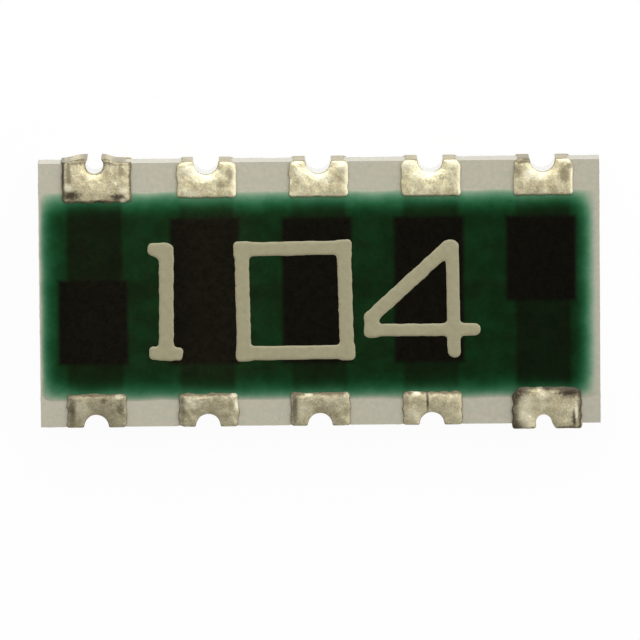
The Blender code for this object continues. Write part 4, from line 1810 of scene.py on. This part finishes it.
def upper_marks() -> dict[int, tuple[Spot, ...]]:
    """The painted highlights, painted shade and brown marks on the upper terminals. Their solder
    slopes towards the light at the notch.
    """
    sheen, shade, brown = SpotPaint.SHEEN, SpotPaint.SHADE, SpotPaint.BROWN
    return {
        1: (
            Spot(brown, -0.356, 0.09, 0.030, 0.200, 0.80),
            Spot(sheen, -0.312, 0.06, 0.022, 0.110, 0.45),
            Spot(shade, -0.285, 0.12, 0.033, 0.131, 0.85),
            Spot(shade, 0.310, 0.08, 0.033, 0.100, 0.60),
            Spot(brown, -0.262, 0.36, 0.119, 0.062, 0.95),
            Spot(brown, 0.275, 0.38, 0.088, 0.044, 0.90),
            Spot(brown, 0.080, 0.43, 0.100, 0.027, 0.70),
            Spot(sheen, -0.289, 0.27, 0.044, 0.044, 0.90),
            Spot(sheen, 0.334, 0.30, 0.037, 0.037, 0.90),
            Spot(sheen, 0.330, 0.42, 0.035, 0.027, 0.60),
            Spot(brown, -0.240, -0.015, 0.170, 0.030, 0.70),
            Spot(brown, 0.260, -0.010, 0.190, 0.030, 0.65),
        ),
        2: (
            Spot(sheen, -0.190, 0.08, 0.100, 0.075, 0.75),
            Spot(sheen, -0.010, 0.19, 0.150, 0.035, 0.80),
            Spot(shade, 0.170, 0.25, 0.056, 0.050, 0.55),
            Spot(shade, 0.270, 0.13, 0.050, 0.094, 0.60),
            Spot(sheen, 0.325, 0.20, 0.022, 0.225, 0.70),
            Spot(sheen, -0.170, 0.35, 0.075, 0.035, 0.55),
        ),
        3: (
            Spot(sheen, -0.190, 0.11, 0.100, 0.056, 0.75),
            Spot(sheen, 0.040, 0.19, 0.112, 0.040, 0.90),
            Spot(sheen, 0.260, 0.05, 0.088, 0.044, 0.70),
            Spot(shade, 0.250, 0.18, 0.044, 0.075, 0.40),
            Spot(sheen, 0.325, 0.20, 0.020, 0.213, 0.60),
        ),
        4: (
            Spot(sheen, -0.255, 0.05, 0.088, 0.044, 0.70),
            Spot(sheen, -0.070, 0.15, 0.138, 0.044, 0.85),
            Spot(sheen, 0.270, 0.05, 0.075, 0.044, 0.60),
            Spot(sheen, 0.325, 0.24, 0.020, 0.175, 0.50),
        ),
        5: (
            Spot(shade, -0.290, 0.12, 0.056, 0.062, 0.80),
            Spot(brown, -0.210, 0.01, 0.100, 0.031, 0.80),
            Spot(sheen, -0.150, 0.15, 0.069, 0.062, 1.00),
            Spot(sheen, -0.040, 0.20, 0.088, 0.031, 0.60),
            Spot(shade, 0.245, 0.17, 0.056, 0.094, 0.80),
            Spot(sheen, 0.335, 0.22, 0.022, 0.163, 0.85),
            Spot(brown, 0.315, 0.06, 0.044, 0.037, 0.50),
        ),
    }


def lower_marks() -> dict[int, tuple[Spot, ...]]:
    """The painted highlights, painted shade and brown marks on the lower terminals. Their solder
    is painted duller, and their left rims get painted shade.
    """
    sheen, shade, brown = SpotPaint.SHEEN, SpotPaint.SHADE, SpotPaint.BROWN
    return {
        6: (
            Spot(brown, -0.275, 0.17, 0.046, 0.188, 0.62),
            Spot(brown, 0.080, 0.29, 0.044, 0.035, 0.55),
            Spot(brown, 0.275, 0.20, 0.040, 0.069, 0.60),
            Spot(sheen, -0.160, 0.20, 0.075, 0.088, 0.35),
            Spot(sheen, 0.260, 0.34, 0.060, 0.026, 0.35),
        ),
        7: (
            Spot(brown, -0.290, 0.20, 0.032, 0.213, 0.50),
            Spot(sheen, -0.180, 0.26, 0.088, 0.069, 0.40),
            Spot(sheen, 0.290, 0.34, 0.040, 0.028, 0.60),
            Spot(sheen, 0.320, 0.23, 0.025, 0.069, 0.80),
            Spot(shade, 0.260, 0.24, 0.031, 0.056, 0.60),
        ),
        8: (
            Spot(brown, -0.285, 0.20, 0.036, 0.200, 0.62),
            Spot(sheen, -0.130, 0.34, 0.050, 0.026, 0.45),
            Spot(sheen, 0.300, 0.33, 0.040, 0.028, 0.45),
            Spot(sheen, -0.190, 0.20, 0.062, 0.100, 0.35),
        ),
        9: (
            Spot(sheen, -0.180, 0.35, 0.045, 0.034, 0.80),
            Spot(brown, -0.050, 0.27, 0.016, 0.125, 0.85),
            Spot(sheen, -0.220, 0.11, 0.075, 0.056, 0.50),
            Spot(shade, -0.290, 0.25, 0.031, 0.075, 0.60),
        ),
        10: (
            Spot(brown, -0.330, 0.20, 0.055, 0.290, 0.75),
            Spot(brown, -0.300, 0.38, 0.125, 0.110, 1.00),
            Spot(brown, -0.300, -0.03, 0.090, 0.070, 0.80),
            Spot(brown, 0.300, 0.37, 0.165, 0.085, 1.00),
            Spot(brown, 0.040, 0.41, 0.080, 0.040, 0.95),
            Spot(brown, 0.410, 0.15, 0.034, 0.288, 0.65),
            Spot(sheen, -0.200, 0.12, 0.088, 0.188, 0.50),
            Spot(sheen, -0.045, 0.38, 0.040, 0.026, 0.25),
            Spot(sheen, 0.010, 0.31, 0.075, 0.037, 0.50),
            Spot(brown, 0.345, 0.04, 0.027, 0.094, 0.90),
            Spot(sheen, 0.370, 0.13, 0.018, 0.094, 0.85),
        ),
    }


def terminals() -> list[SolderTerminal]:
    """The ten terminals, each with its own marks and painted light level."""
    marks = upper_marks() | lower_marks()
    # Painted light: the upper row is painted brighter and the lower row darker, as light falls on
    # their slopes.
    upper = [
        SolderTerminal(n, painted_light_level=painted_light_level, spots=marks[n])
        for n, painted_light_level in ((2, 1.22), (3, 1.23), (4, 1.24), (5, 1.10))
    ]
    low = {
        "depth": 0.368,
        "edge_corner": 0.04,
        "hole_inset": -0.012,
        "hole_dome": 0.05,
        "dome": 0.050,
        "ragged": 0.006,
        "dirt_and_shade": 0.85,
        "end_reach": 0.045,
        "wall_shade": 0.8,
    }
    lower = [
        SolderTerminal(n, painted_light_level=painted_light_level, spots=marks[n], **low)
        for n, painted_light_level in ((6, 0.61), (7, 0.74), (8, 0.77), (9, 0.87))
    ]
    first = RoundTerminal(1, painted_light_level=1.08, spots=marks[1])
    last = ArchTerminal(10, painted_light_level=0.95, spots=marks[10])
    return [first, *upper, *lower, last]


def write_sizes() -> None:
    """Works out the solids' box and the finished part's box as plain lists, and keeps nothing."""
    boxes = {"cad": CAD_BOX, "visual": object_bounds()}
    plain = {name: [list(corner) for corner in box] for name, box in boxes.items()}


def main() -> None:
    """Builds every sub-assembly in order."""
    logging.basicConfig(level=logging.INFO, format="%(message)s")
    skin = rough_skin()
    CeramicPlate().build(skin)
    InnerLayers().dress()
    glass = GlassCoat()
    glass.build()
    Marking(glass).build()
    for terminal in terminals():
        terminal.build(skin)
    Studio().build()
    write_sizes()


if __name__ == "__main__":
    main()
